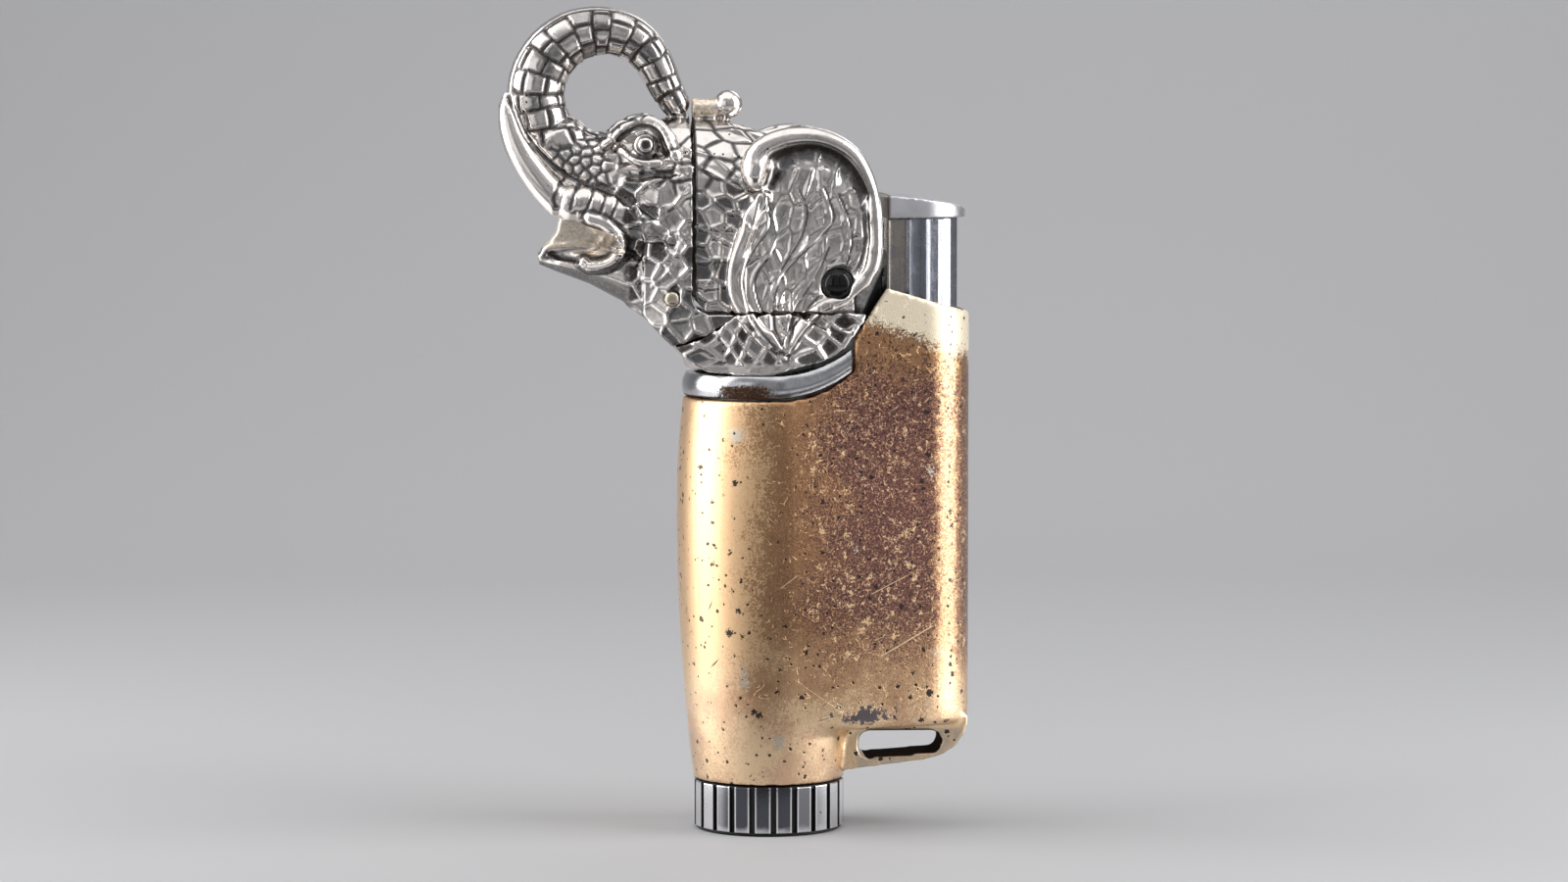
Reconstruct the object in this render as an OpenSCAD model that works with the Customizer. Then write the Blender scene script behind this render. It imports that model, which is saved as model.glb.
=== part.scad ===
// Gas lighter in the shape of an elephant's head on a slim pocket body.
// The push button slides down, strikes the piezo igniter and swings the rear
// half of the head open over the burner. The ribbed wheel in the base sets the
// flame, and the gas is filled through its centre.
// Frame: origin at the centre of the wheel's underside, +X towards the push
// button, +Y away from the viewer, +Z up.

/* [Body] */
// Radius of the round front of the body where it meets the wheel
foot_r = 9.6; // [9.2:0.1:10]
// Fullest radius of the body's front
belly_r = 11.7; // [11.2:0.1:12.2]
// Height of the fullest point of the front
belly_z = 41; // [36:1:46]
// Radius of the front at its top edge
throat_r = 10.9; // [10.6:0.1:11.2]
// Height of the top edge at the front
throat_z = 55.4; // [55.1:0.1:55.7]
// Radius of the body's narrow rear
rear_r = 7; // [6.9:0.05:7.3]
// Distance from the wheel's axis to the centre of the rear
rear_x = 18.6; // [18.4:0.1:19]
// Least radius of the front half, round the tower of the button
tower_r = 10; // [9.8:0.1:10.2]
// Height of the flat underside beside the foot
floor_z = 13.7; // [13.3:0.1:14]
// Wall of the cast body
wall = 1.2; // [1:0.05:1.3]

/* [Lanyard eye] */
// Thickness of the eye's web
eye_t = 7.4; // [5:0.2:9]
// Clear height of the slot at its narrow end
slot_h = 2.8; // [2:0.1:3]
// Clear length of the slot
slot_l = 10.5; // [8:0.5:11]

/* [Adjuster wheel] */
// Radius over the ribs
wheel_r = 9.6; // [9.3:0.1:10]
// Height of the wheel
wheel_h = 6.35; // [5.8:0.05:6.45]
// Number of ribs
ribs = 22; // [18:2:36]
// Depth of the grooves between the ribs
groove_d = 0.55; // [0.3:0.05:0.7]
// Width of a groove
groove_w = 0.62; // [0.4:0.02:0.8]
// Radius of the recess that the gas can's nozzle seats in
wheel_bore_r = 3.5; // [3.4:0.1:3.8]

/* [Push button] */
// Travel of the button
travel = 7.5; // [6:0.5:7.5]
// Thickness of the thumb plate at its front
plate_t = 2.9; // [2.4:0.1:3.2]
// Overhang of the thumb plate past the stem
plate_lip = 0.9; // [0.6:0.1:1.1]
// Height of the thumb plate's underside
plate_z = 78.1; // [77.9:0.1:78.6]
// How far back the flat front strip of the stem reaches
flute_x = 17.35; // [16.5:0.1:18]
// Depth of the strip and the flutes
flute_d = 0.3; // [0.1:0.05:0.4]

/* [Head] */
// Half width of the head across its flanks
flank = 8.9; // [8.7:0.05:9.1]
// Height of the split between cap and neck
split_z = 66.35; // [66.2:0.05:66.5]
// Distance of the upright split in front of the wheel's axis
split_x = 9.9; // [9.7:0.1:10.1]
// Width of the gap along the split
split_gap = 0.4; // [0.3:0.05:0.5]
// Radius of the trunk where it leaves the face
trunk_r = 3.9; // [3.6:0.1:4.1]
// Radius of the trunk at its tip
tip_r = 1.35; // [1.2:0.05:1.5]
// Radius of the bead at the end of the trunk
bead_r = 1.85; // [1.6:0.05:2]
// Radius of a tusk at its root
tusk_r = 2.1; // [1.8:0.1:2.3]
// Half width over the fields of the ears
ear_field = 9.7; // [9.6:0.05:9.8]
// Radius of the rolled rim round each ear
ear_roll = 1; // [0.8:0.05:1.1]
// Radius of an eyeball
eyeball_r = 1.7; // [1.4:0.1:1.9]

/* [Cap hinge] */
// Radius of the hinge pin
pin_r = 1.5; // [1.2:0.1:1.7]
// Angle through which the cap opens
cap_swing = 48; // [40:1:50]
// Radius of the drive pin on the cap's lever
drive_pin_r = 0.9; // [0.7:0.05:1]

/* [Gas system] */
// Distance of the burner in front of the wheel's axis
burner_x = 0.3; // [0:0.1:0.4]
// Radius of the wind shield
shield_r = 4; // [3.8:0.05:4.2]
// Radius of the tank
tank_r = 8.8; // [8.2:0.1:8.9]
// Wall of the tank
tank_wall = 1; // [0.8:0.1:1.2]
// Bore of the filling valve, for the nozzle of a gas can
port_r = 1.6; // [1.4:0.05:1.7]

/* [Hidden] */
$fn = 48;

// Clearances
run = 0.05;                     // a shaft in its bearing
slide = 0.2;                    // a sliding piece in its guide
seat = 0.02;                    // a piece pressed or screwed in its seat

// The body's front radius at a height: two parabolas that meet at the belly
foot_z = wheel_h + 0.25;
function front_r(z) = z < belly_z
    ? belly_r - (belly_r - foot_r) * pow((belly_z - z) / (belly_z - foot_z), 2)
    : max(tower_r, belly_r - (belly_r - throat_r) * pow((z - belly_z) / (throat_z - belly_z), 2));

// An egg-shaped outline round two circles, the first one larger, inset by d
front_steps = 20;
rear_steps = 10;
function egg(xa, ra, xb, rb, d = 0) =
    let (phi = acos((ra - rb) / (xb - xa)))
    concat(
        [for (i = [0 : front_steps]) let (a = phi + (360 - 2 * phi) * i / front_steps)
            [xa + (ra - d) * cos(a), (ra - d) * sin(a)]],
        [for (i = [0 : rear_steps]) let (a = -phi + 2 * phi * i / rear_steps)
            [xb + (rb - d) * cos(a), (rb - d) * sin(a)]]
    );
function circle_as_egg(r) = egg(0, r, 0.01, r);
function body_plan(z, d = 0) = egg(0, front_r(z), rear_x, rear_r, d);

// A solid through a row of rings with equal numbers of points, each of them
// clockwise as seen from the row's start.
module skin(rings) {
    n = len(rings[0]);
    m = len(rings);
    polyhedron(
        points = [for (r = rings) each r],
        faces = concat(
            [[for (i = [0 : n - 1]) i]],
            [for (k = [0 : m - 2]) for (i = [0 : n - 1])
                let (j = (i + 1) % n, a = k * n, b = a + n)
                each [[a + i, b + i, b + j], [a + i, b + j, a + j]]],
            [[for (i = [n - 1 : -1 : 0]) (m - 1) * n + i]]
        )
    );
}
// A solid through outlines at rising heights
module loft(levels) {
    skin([for (l = levels) [for (p = l[1]) [p[0], p[1], l[0]]]]);
}

// A side view, drawn in X and Z, given a thickness across Y
module side_cut(half) {
    rotate([90, 0, 0])
        linear_extrude(height = 2 * half, center = true)
            children();
}

// A pin across the lighter
module cross_pin(x, z, r, half) {
    translate([x, 0, z])
        rotate([90, 0, 0])
            cylinder(r = r, h = 2 * half, center = true);
}

// A round wire wound into a spring: one tube along a helix with dead ends
module coil(r, wire, z0, z1, turns, sides = 6, per_turn = 8) {
    steps = turns * per_turn;
    pitch = (z1 - z0 - 2 * wire) / turns;
    skin([for (k = [0 : steps]) let (a = 360 * k / per_turn)
        [for (i = [0 : sides - 1]) let (b = -360 * i / sides, q = r + wire * cos(b))
            [q * cos(a), q * sin(a), z0 + wire + pitch * k / per_turn + wire * sin(b)]]]);
}

// The cut between the head and the body, seen from the side
scoop_x = 10.3;
tower_x = 14.45;
tower_z = 69.35;
rim_z = 66.4;
scoop_line = [[-20, throat_z], [2, throat_z], [4.5, throat_z + 0.35], [7, throat_z + 1.3],
    [8.9, throat_z + 2.5], [scoop_x, throat_z + 3.6], [scoop_x, 63], [tower_x, tower_z]];
module above_body() {
    polygon(concat(scoop_line, [[24.4, rim_z], [40, rim_z - 4.5], [40, 120], [-20, 120]]));
}

// Body
body_levels = [22, 32, belly_z, 49, 58, 71];
// The cast body: an egg-shaped shell with a round foot, the lanyard eye below
// its rear and an open tower that guides the button.
cavity_z = floor_z + 1.5;
bush_r = 6.4;
module body_outer() {
    foot = [for (z = [foot_z, 9.5, floor_z - 0.5]) [z, circle_as_egg(front_r(z))]];
    trunk = [for (z = body_levels) [z, body_plan(z)]];
    loft(concat(foot, [[floor_z, body_plan(floor_z, 0.35)], [floor_z + 0.7, body_plan(floor_z + 0.7)]],
        trunk));
}
module body_cavity() {
    loft(concat([[cavity_z, body_plan(cavity_z, wall)]], [for (z = body_levels) [z, body_plan(z, wall)]]));
}
module eye_web() {
    side_cut(eye_t / 2)
        polygon([[6, floor_z + 1], [6, 7.4], [9.5, 7.6], [14.3, 8.2], [19.5, 8.8], [21.9, 9.4],
            [23.6, 10.5], [24.8, 12], [25.3, 13.4], [25.3, floor_z + 1]]);
}
module eye_slot() {
    corner = 1.2;
    top = floor_z - 1.1;
    left = 11.35;
    side_cut(eye_t)
        hull() {
            for (p = [[left + corner, top - slot_h - 0.6 + corner], [left + corner, top - corner],
                      [left + slot_l - corner, top - corner],
                      [left + slot_l - corner, top - slot_h + corner]])
                translate(p) circle(r = corner, $fn = 24);
        }
}
module body_shell() {
    color([0.78, 0.6, 0.36])
        difference() {
            union() {
                body_outer();
                eye_web();
            }
            body_cavity();
            side_cut(20) above_body();
            eye_slot();
            translate([0, 0, foot_z - 1]) cylinder(r = bush_r, h = cavity_z - foot_z + 2);
        }
}

// Adjuster wheel
// A black core with a flange at each end and a hub that runs in the bush.
flange_h = 0.42;
flange_r = wheel_r - 0.25;
sleeve_in = wheel_r - 1.1;
hub_r = 4.7;
hub_top = foot_z + 4.6;
clip_z = foot_z + 3.1;
clip_h = 0.6;
module adjuster_core() {
    color([0.05, 0.05, 0.055])
        rotate_extrude()
            polygon([[wheel_bore_r, 0], [flange_r - 0.3, 0],
                [flange_r, 0.25], [flange_r, flange_h], [sleeve_in - seat, flange_h],
                [sleeve_in - seat, wheel_h - flange_h], [flange_r, wheel_h - flange_h],
                [flange_r, wheel_h], [hub_r, wheel_h], [hub_r, clip_z],
                [hub_r - 0.5, clip_z], [hub_r - 0.5, clip_z + clip_h],
                [hub_r, clip_z + clip_h], [hub_r, hub_top], [wheel_bore_r - 0.5, hub_top],
                [wheel_bore_r - 0.5, port_z - 0.05], [wheel_bore_r, port_z - 0.05]]);
}
// A bright sleeve on the core, with grooves between flat ribs.
module adjuster_sleeve() {
    color([0.75, 0.76, 0.78])
        difference() {
            rotate_extrude()
                polygon([[sleeve_in, flange_h + seat], [wheel_r - 0.25, flange_h + seat],
                    [wheel_r, flange_h + 0.35], [wheel_r, wheel_h - flange_h - 0.35],
                    [wheel_r - 0.25, wheel_h - flange_h - seat],
                    [sleeve_in, wheel_h - flange_h - seat]]);
            for (i = [0 : ribs - 1])
                rotate([0, 0, (i + 0.5) * 360 / ribs])
                    translate([wheel_r - groove_d, -groove_w / 2, 0])
                        cube([2, groove_w, wheel_h]);
        }
}
// The bush in the foot that the hub turns in.
module wheel_bush() {
    color([0.7, 0.55, 0.3])
        translate([0, 0, foot_z])
            difference() {
                cylinder(r = bush_r - seat, h = clip_z - foot_z - 0.1);
                translate([0, 0, -1]) cylinder(r = hub_r + run, h = 10);
            }
}
// The spring clip in the hub's groove, which holds the wheel up.
module wheel_clip() {
    color([0.6, 0.61, 0.63])
        translate([0, 0, clip_z + 0.05])
            difference() {
                cylinder(r = hub_r + 0.9, h = clip_h - 0.1);
                translate([0, 0, -1]) cylinder(r = hub_r - 0.5 + seat, h = 3);
                translate([0, -1.1, -1]) cube([10, 2.2, 3]);
            }
}

// Filling valve and regulator
// A brass sleeve that the hub turns, with the seal it presses on.
valve_r = 2.5;
regulator_z = hub_top + 0.1;
regulator_h = 2.9;
module regulator_sleeve() {
    color([0.72, 0.56, 0.28])
        translate([0, 0, regulator_z])
            difference() {
                cylinder(r = hub_r, h = regulator_h);
                translate([0, 0, -1]) cylinder(r = valve_r + run, h = 5);
            }
}
module regulator_seal() {
    color([0.1, 0.1, 0.1])
        translate([0, 0, regulator_z + regulator_h + 0.05])
            difference() {
                cylinder(r = hub_r, h = 0.8);
                translate([0, 0, -1]) cylinder(r = valve_r + run, h = 3);
            }
}
// The filling valve hangs from the tank through the hollow wheel.
port_z = 1.3;
port_depth = 2.4;
tank_z = cavity_z + 0.05;
stem_r = 0.7;
module fill_valve_body() {
    color([0.76, 0.6, 0.3])
        difference() {
            union() {
                translate([0, 0, port_z]) cylinder(r = valve_r, h = tank_z + tank_wall + 1.6 - port_z);
                translate([0, 0, tank_z + tank_wall]) cylinder(r = valve_r + 0.9, h = 1.6);
            }
            translate([0, 0, port_z - 1]) cylinder(r = port_r, h = port_depth + 1);
            translate([0, 0, port_z]) cylinder(r = stem_r + run, h = port_depth + 2);
            translate([0, 0, stem_seat_z]) cylinder(r = port_r, h = fill_spring_top + 0.05 - stem_seat_z);
            translate([0, 0, stem_seat_z]) cylinder(r = stem_r + run, h = 30);
        }
}
// The stem lifts off its seat when a nozzle pushes it.
stem_seat_z = port_z + port_depth + 1.2;
module fill_valve_stem() {
    color([0.8, 0.81, 0.82])
        union() {
            translate([0, 0, port_z + port_depth + 0.1]) cylinder(r = stem_r, h = 4);
            translate([0, 0, stem_seat_z + 0.45]) cylinder(r = port_r - 0.2, h = 0.8);
        }
}
module fill_valve_seal() {
    color([0.1, 0.1, 0.1])
        translate([0, 0, stem_seat_z + 0.02])
            difference() {
                cylinder(r = port_r - 0.15, h = 0.4);
                translate([0, 0, -1]) cylinder(r = stem_r + run, h = 3);
            }
}
spring_wire = 0.18;
fill_spring_z = stem_seat_z + 1.3;
fill_spring_top = fill_spring_z + 5;
module fill_valve_spring() {
    color([0.7, 0.71, 0.73])
        coil(port_r - 0.45, spring_wire, fill_spring_z, fill_spring_top, 5);
}

// Fuel tank
tank_top = 51.5;
tank_back = 10.4;
tank_half = 6.9;
module tank_outline(d = 0) {
    circle(r = tank_r - d);
    translate([0, -tank_half + d]) square([tank_back - d, 2 * tank_half - 2 * d]);
}
module fuel_tank() {
    color([0.82, 0.84, 0.86])
        difference() {
            translate([0, 0, tank_z]) linear_extrude(height = tank_top - tank_z) tank_outline();
            translate([0, 0, tank_z + tank_wall])
                linear_extrude(height = tank_top) tank_outline(tank_wall);
            translate([0, 0, tank_z - 1]) cylinder(r = valve_r + seat, h = tank_wall + 2);
        }
}
// The lid closes the tank and carries the outlet valve.
lid_h = 2.2;
lid_z = tank_top + 0.05;
outlet_r = 2.4;
module tank_lid() {
    color([0.86, 0.87, 0.88])
        difference() {
            union() {
                translate([0, 0, lid_z]) linear_extrude(height = lid_h) tank_outline();
                translate([0, 0, lid_z - 1.6])
                    linear_extrude(height = 1.6) tank_outline(tank_wall + 0.55);
            }
            translate([-burner_x, 0, lid_z - 3]) cylinder(r = outlet_r + seat, h = 10);
        }
}
// A flat seal under the lid's flange, inside the tank's wall.
module tank_seal() {
    color([0.08, 0.08, 0.08])
        translate([0, 0, lid_z - 1.2])
            linear_extrude(height = 0.7)
                difference() {
                    tank_outline(tank_wall + 0.05);
                    tank_outline(tank_wall + 0.5);
                }
}
// A thin pipe from the regulator up to the outlet valve.
riser_r = 0.7;
module gas_riser() {
    color([0.72, 0.5, 0.3])
        difference() {
            translate([-burner_x, 0, tank_z + 3.2]) cylinder(r = riser_r, h = lid_z - 4.6 - tank_z);
            translate([-burner_x, 0, 0]) cylinder(r = riser_r - 0.3, h = 80);
        }
}

// Outlet valve
outlet_z = lid_z - 1.4;
outlet_top = 57.4;
nozzle_r = 0.9;
module outlet_valve() {
    color([0.76, 0.6, 0.3])
        difference() {
            union() {
                translate([-burner_x, 0, outlet_z]) cylinder(r = outlet_r, h = outlet_top - outlet_z);
                translate([-burner_x, 0, lid_z + lid_h + 0.02])
                    cylinder(r = outlet_r + 0.8, h = 1.2, $fn = 6);
            }
            translate([-burner_x, 0, outlet_z + 1]) cylinder(r = nozzle_r + run, h = 20);
        }
}
// The nozzle is lifted by the fork of the gas lever.
collar_z = 59.3;
nozzle_top = 66.6;
module valve_nozzle() {
    color([0.8, 0.66, 0.36])
        difference() {
            union() {
                translate([-burner_x, 0, outlet_z + 1.5])
                    cylinder(r = nozzle_r, h = nozzle_top - outlet_z - 1.5);
                translate([-burner_x, 0, collar_z]) cylinder(r = 2.1, h = 0.7);
            }
            translate([-burner_x, 0, outlet_z + 3]) cylinder(r = 0.35, h = 30);
        }
}
// The spring presses the nozzle shut from below the burner's foot.
burner_z = 63.4;
module valve_spring() {
    color([0.7, 0.71, 0.73])
        translate([-burner_x, 0, 0])
            coil(1.55, spring_wire, collar_z + 0.75, burner_z - 0.05, 4);
}

// Chassis
// A plate on the tank's lid with two ears, which carry the hinge pin of the
// cap and the pin of the gas lever.
chassis_z = lid_z + lid_h + 1.3;
chassis_t = 1.4;
pivot_x = 8.1;
pivot_z = 69.9;
lever_x = 10.6;
lever_z = 61;
lever_pin_r = 0.7;
ear_in = 3.6;
ear_out = 5.2;
boss_r = 2.5;
module chassis_ear() {
    linear_extrude(height = ear_out - ear_in)
        union() {
            polygon([[pivot_x - boss_r, pivot_z], [pivot_x - boss_r, chassis_z],
                [lever_x + 1.8, chassis_z], [lever_x + 1.8, lever_z + 1.4],
                [pivot_x + boss_r, lever_z + 4.4], [pivot_x + boss_r, pivot_z]]);
            translate([pivot_x, pivot_z]) circle(r = boss_r);
        }
}
module chassis() {
    color([0.62, 0.63, 0.66])
        difference() {
            union() {
                translate([0, 0, chassis_z])
                    linear_extrude(height = chassis_t)
                        difference() {
                            union() {
                                circle(r = 8.3);
                                translate([0, -6.6]) square([lever_x + 1.8, 13.2]);
                            }
                            translate([-burner_x, 0]) circle(r = outlet_r + 0.4);
                        }
                for (s = [-1, 1])
                    translate([0, s * (ear_in + ear_out) / 2, 0])
                        rotate([90, 0, 0])
                            translate([0, 0, -(ear_out - ear_in) / 2])
                                chassis_ear();
                for (y = [-1, 1])
                    translate([post_x, y * post_y, chassis_z])
                        cylinder(r = 1.3, h = deck_z - chassis_z);
            }
            cross_pin(pivot_x, pivot_z, pin_r + run, 10);
            cross_pin(lever_x, lever_z, lever_pin_r + seat, 10);
            for (y = [-1, 1])
                translate([post_x, y * post_y, deck_z - 4]) cylinder(r = 0.6, h = 10);
        }
}
// Two posts carry the deck round the burner.
deck_z = 64.3;
deck_t = 0.8;
post_x = -3.4;
post_y = 5.4;
module chassis_screws() {
    color([0.72, 0.73, 0.75])
        for (y = [-1, 1])
            difference() {
                translate([post_x, y * post_y, 0])
                    union() {
                        translate([0, 0, deck_z - 3.5]) cylinder(r = 0.6 - seat, h = 3.5 + deck_t);
                        translate([0, 0, deck_z + deck_t + 0.02]) cylinder(r = 1.15, h = 0.7);
                    }
                translate([post_x - 2, y * post_y - 0.15, deck_z + deck_t + 0.45]) cube([4, 0.3, 1]);
            }
}
// The sheet that closes the neck round the burner.
neck_in = 7.35;
module burner_deck() {
    color([0.75, 0.76, 0.78])
        translate([0, 0, deck_z + 0.02])
            linear_extrude(height = deck_t - 0.02)
                difference() {
                    union() {
                        translate([-5.5, -neck_in + 0.25]) square([7, 2 * neck_in - 0.5]);
                        translate([0, -ear_in + 0.2]) square([5, 2 * ear_in - 0.4]);
                    }
                    translate([-burner_x, 0]) circle(r = burner_r + run);
                    for (y = [-1, 1]) translate([post_x, y * post_y]) circle(r = 0.65);
                    translate([electrode_x, 0]) circle(r = electrode_r + seat);
                }
}

// Burner
// The mixing tube stands on the nozzle, inside a pierced wind shield.
burner_top = 77;
burner_r = 1.8;
module burner_tube() {
    color([0.78, 0.62, 0.34])
        translate([-burner_x, 0, 0])
            difference() {
                union() {
                    translate([0, 0, deck_z + deck_t + 0.02]) cylinder(r = burner_r + 0.3, h = 1);
                    translate([0, 0, burner_z]) cylinder(r = burner_r, h = burner_top - burner_z);
                }
                translate([0, 0, burner_z - 1]) cylinder(r = nozzle_r + 0.12, h = 6);
                translate([0, 0, burner_z + 6]) cylinder(r = burner_r - 0.5, h = 20);
                translate([0, 0, burner_z + 3]) cylinder(r = 0.4, h = 20);
                for (a = [0 : 90 : 270])
                    rotate([0, 0, a + 45])
                        translate([1, 0, burner_z + 7])
                            rotate([0, 90, 0])
                                cylinder(r = 0.45, h = 3);
            }
}
module wind_shield() {
    shield_z = deck_z + deck_t + 0.02;
    shield_top = 79.2;
    color([0.8, 0.81, 0.83])
        translate([-burner_x, 0, 0])
            difference() {
                translate([0, 0, shield_z]) cylinder(r = shield_r, h = shield_top - shield_z);
                translate([0, 0, shield_z - 1]) cylinder(r = shield_r - 0.4, h = 30);
                for (row = [0 : 1])
                    for (a = [0 : 60 : 300])
                        rotate([0, 0, a + 30 * row])
                            translate([shield_r - 1.5, 0, shield_z + 2.5 + 3 * row])
                                rotate([0, 90, 0])
                                    cylinder(r = 0.7, h = 3);
            }
}
// The spark electrode stands beside the burner in its ceramic sleeve.
electrode_x = 2.45;
electrode_r = 0.55;
module electrode() {
    color([0.9, 0.89, 0.84])
        difference() {
            translate([electrode_x, 0, deck_z - 1.5]) cylinder(r = electrode_r, h = burner_top - deck_z + 1);
            translate([electrode_x, 0, 0]) cylinder(r = 0.25, h = 100);
        }
}
module electrode_wire() {
    color([0.55, 0.55, 0.57])
        union() {
            translate([electrode_x, 0, lever_z + 2]) cylinder(r = 0.25 - seat, h = 15.3);
            translate([electrode_x, 0, burner_top + 1.3])
                rotate([0, -90, 0])
                    cylinder(r = 0.25 - seat, h = 1.6);
        }
}

// Gas lever
// A bell crank: the wedge on the button pushes its toe, and its fork lifts
// the nozzle's collar.
lever_swing = 5.5;
toe_x = 14.05;
toe_z = 57.9;
fork_z = collar_z - 0.3;
module gas_lever() {
    color([0.7, 0.71, 0.73])
        difference() {
            union() {
                side_cut(1.3)
                    union() {
                        polygon([[-3.2, collar_z - 1.3], [-3.2, fork_z], [1.6, fork_z],
                            [lever_x, lever_z + 1.5], [lever_x + 1.5, lever_z], [toe_x, toe_z + 0.4],
                            [toe_x, toe_z - 0.4], [toe_x - 1, toe_z - 0.4],
                            [lever_x - 1.2, lever_z - 1.2], [1.4, collar_z - 1.3]]);
                        translate([lever_x, lever_z]) circle(r = 1.5);
                    }
                translate([-3.2, -2.3, collar_z - 1.3]) cube([4.8, 4.6, fork_z - collar_z + 1.3]);
            }
            cross_pin(lever_x, lever_z, lever_pin_r + run, 5);
            translate([-burner_x, 0, collar_z - 5]) cylinder(r = nozzle_r + 0.25, h = 10);
            translate([-4, -nozzle_r - 0.25, collar_z - 5]) cube([3, 2 * nozzle_r + 0.5, 10]);
        }
}
module gas_lever_pin() {
    color([0.45, 0.45, 0.47]) cross_pin(lever_x, lever_z, lever_pin_r, ear_out + 0.2);
}

// Piezo igniter
piezo_x = 18;
piezo_z = 20;
piezo_top = 45;
stem_bottom = 57.2;
module piezo_housing() {
    color([0.12, 0.12, 0.13])
        translate([piezo_x, 0, piezo_z])
            difference() {
                translate([-4.2, -2.9, 0]) cube([8.4, 5.8, piezo_top - piezo_z]);
                translate([-3.2, -1.7, 4]) cube([6.4, 3.4, 60]);
            }
}
module piezo_plunger() {
    color([0.85, 0.84, 0.8])
        translate([piezo_x - 3, -1.5, piezo_top - 10]) cube([6, 3, stem_bottom - piezo_top + 9.95]);
}
module return_spring() {
    color([0.7, 0.71, 0.73])
        translate([piezo_x, 0, 0])
            coil(4.1, 0.3, piezo_top + 0.05, stem_bottom - 0.05, 6);
}

// Push button
// The stem is a tube with the plan of the body's rear. Two cheeks inside it
// hold the slots for the drive pin.
arm = travel / 2 / sin(cap_swing / 2);
drive_x = pivot_x + arm * cos(cap_swing / 2);
drive_z = pivot_z + travel / 2;
button_x = 14.6;
stem_inset = wall + slide;
module button_plan(inset) {
    intersection() {
        polygon(body_plan(tower_z, inset));
        translate([button_x, -20]) square([40, 40]);
    }
}
// A flute runs down the stem from x0 to x1, of one depth all round the plan.
module flute(x0, x1, deep) {
    difference() {
        translate([x0, -20]) square([x1 - x0, 40]);
        polygon(body_plan(tower_z, stem_inset + deep));
    }
}
module button_stem() {
    color([0.55, 0.57, 0.62])
        difference() {
            union() {
                translate([0, 0, stem_bottom])
                    linear_extrude(height = plate_z - stem_bottom)
                        difference() {
                            button_plan(stem_inset);
                            flute(button_x - 1, flute_x, flute_d);
                            flute(flute_x + 2, flute_x + 2.3, flute_d * 0.7);
                            flute(flute_x + 4.3, flute_x + 4.6, flute_d * 0.7);
                            intersection() {
                                polygon(body_plan(tower_z, stem_inset + 1));
                                translate([button_x + 1, -20]) square([40, 40]);
                            }
                        }
                translate([0, 0, stem_bottom]) linear_extrude(height = 1.2) button_plan(stem_inset);
                for (s = [-1, 1])
                    translate([button_x, s * 3 - 0.7, drive_z - 4]) cube([8, 1.4, plate_z - drive_z + 4]);
                side_cut(1.3)
                    polygon([[button_x + 0.5, stem_bottom], [button_x, stem_bottom],
                        [button_x - travel * wedge, stem_bottom + travel],
                        [button_x - travel * wedge, stem_bottom + travel + 2],
                        [button_x + 0.5, stem_bottom + travel + 3]]);
            }
            translate([button_x - 1, -1.8, drive_z - 3.4]) cube([2.5, 3.6, 7]);
            side_cut(3.8)
                hull() {
                    translate([pivot_x + arm * cos(cap_swing / 2) - 0.3, drive_z])
                        circle(r = drive_pin_r + 0.12);
                    translate([pivot_x + arm + 0.3, drive_z]) circle(r = drive_pin_r + 0.12);
                }
        }
}
// The toe moves by this share of the button's travel.
wedge = (lever_z - toe_z) * sin(lever_swing) / travel;

// The thumb plate overhangs the stem and falls towards the rear.
module button_plate() {
    color([0.72, 0.73, 0.76])
        intersection() {
            translate([0, 0, plate_z + 0.02])
                linear_extrude(height = 5)
                    button_plan(stem_inset - plate_lip);
            side_cut(20)
                polygon([[button_x - 1, plate_z], [button_x - 1, plate_z + plate_t],
                    [button_x, plate_z + plate_t], [button_x + 4, plate_z + plate_t - 0.4],
                    [button_x + 8, plate_z + plate_t - 1], [button_x + 9.6, plate_z + plate_t - 1.45],
                    [button_x + 10.4, plate_z + plate_t - 2], [button_x + 10.7, plate_z]]);
        }
}

// Cap hinge
// The pin turns with the cap in the chassis, under the fields of both ears.
pin_head_r = 1.78;
module hinge_pin() {
    color([0.03, 0.03, 0.03])
        union() {
            cross_pin(pivot_x, pivot_z, pin_r, ear_field + 0.05);
            for (s = [-1, 1])
                translate([pivot_x, s * (ear_field - 0.25), pivot_z])
                    rotate([90, 0, 0])
                        cylinder(r = pin_head_r, h = 0.6, center = true);
        }
}
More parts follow.
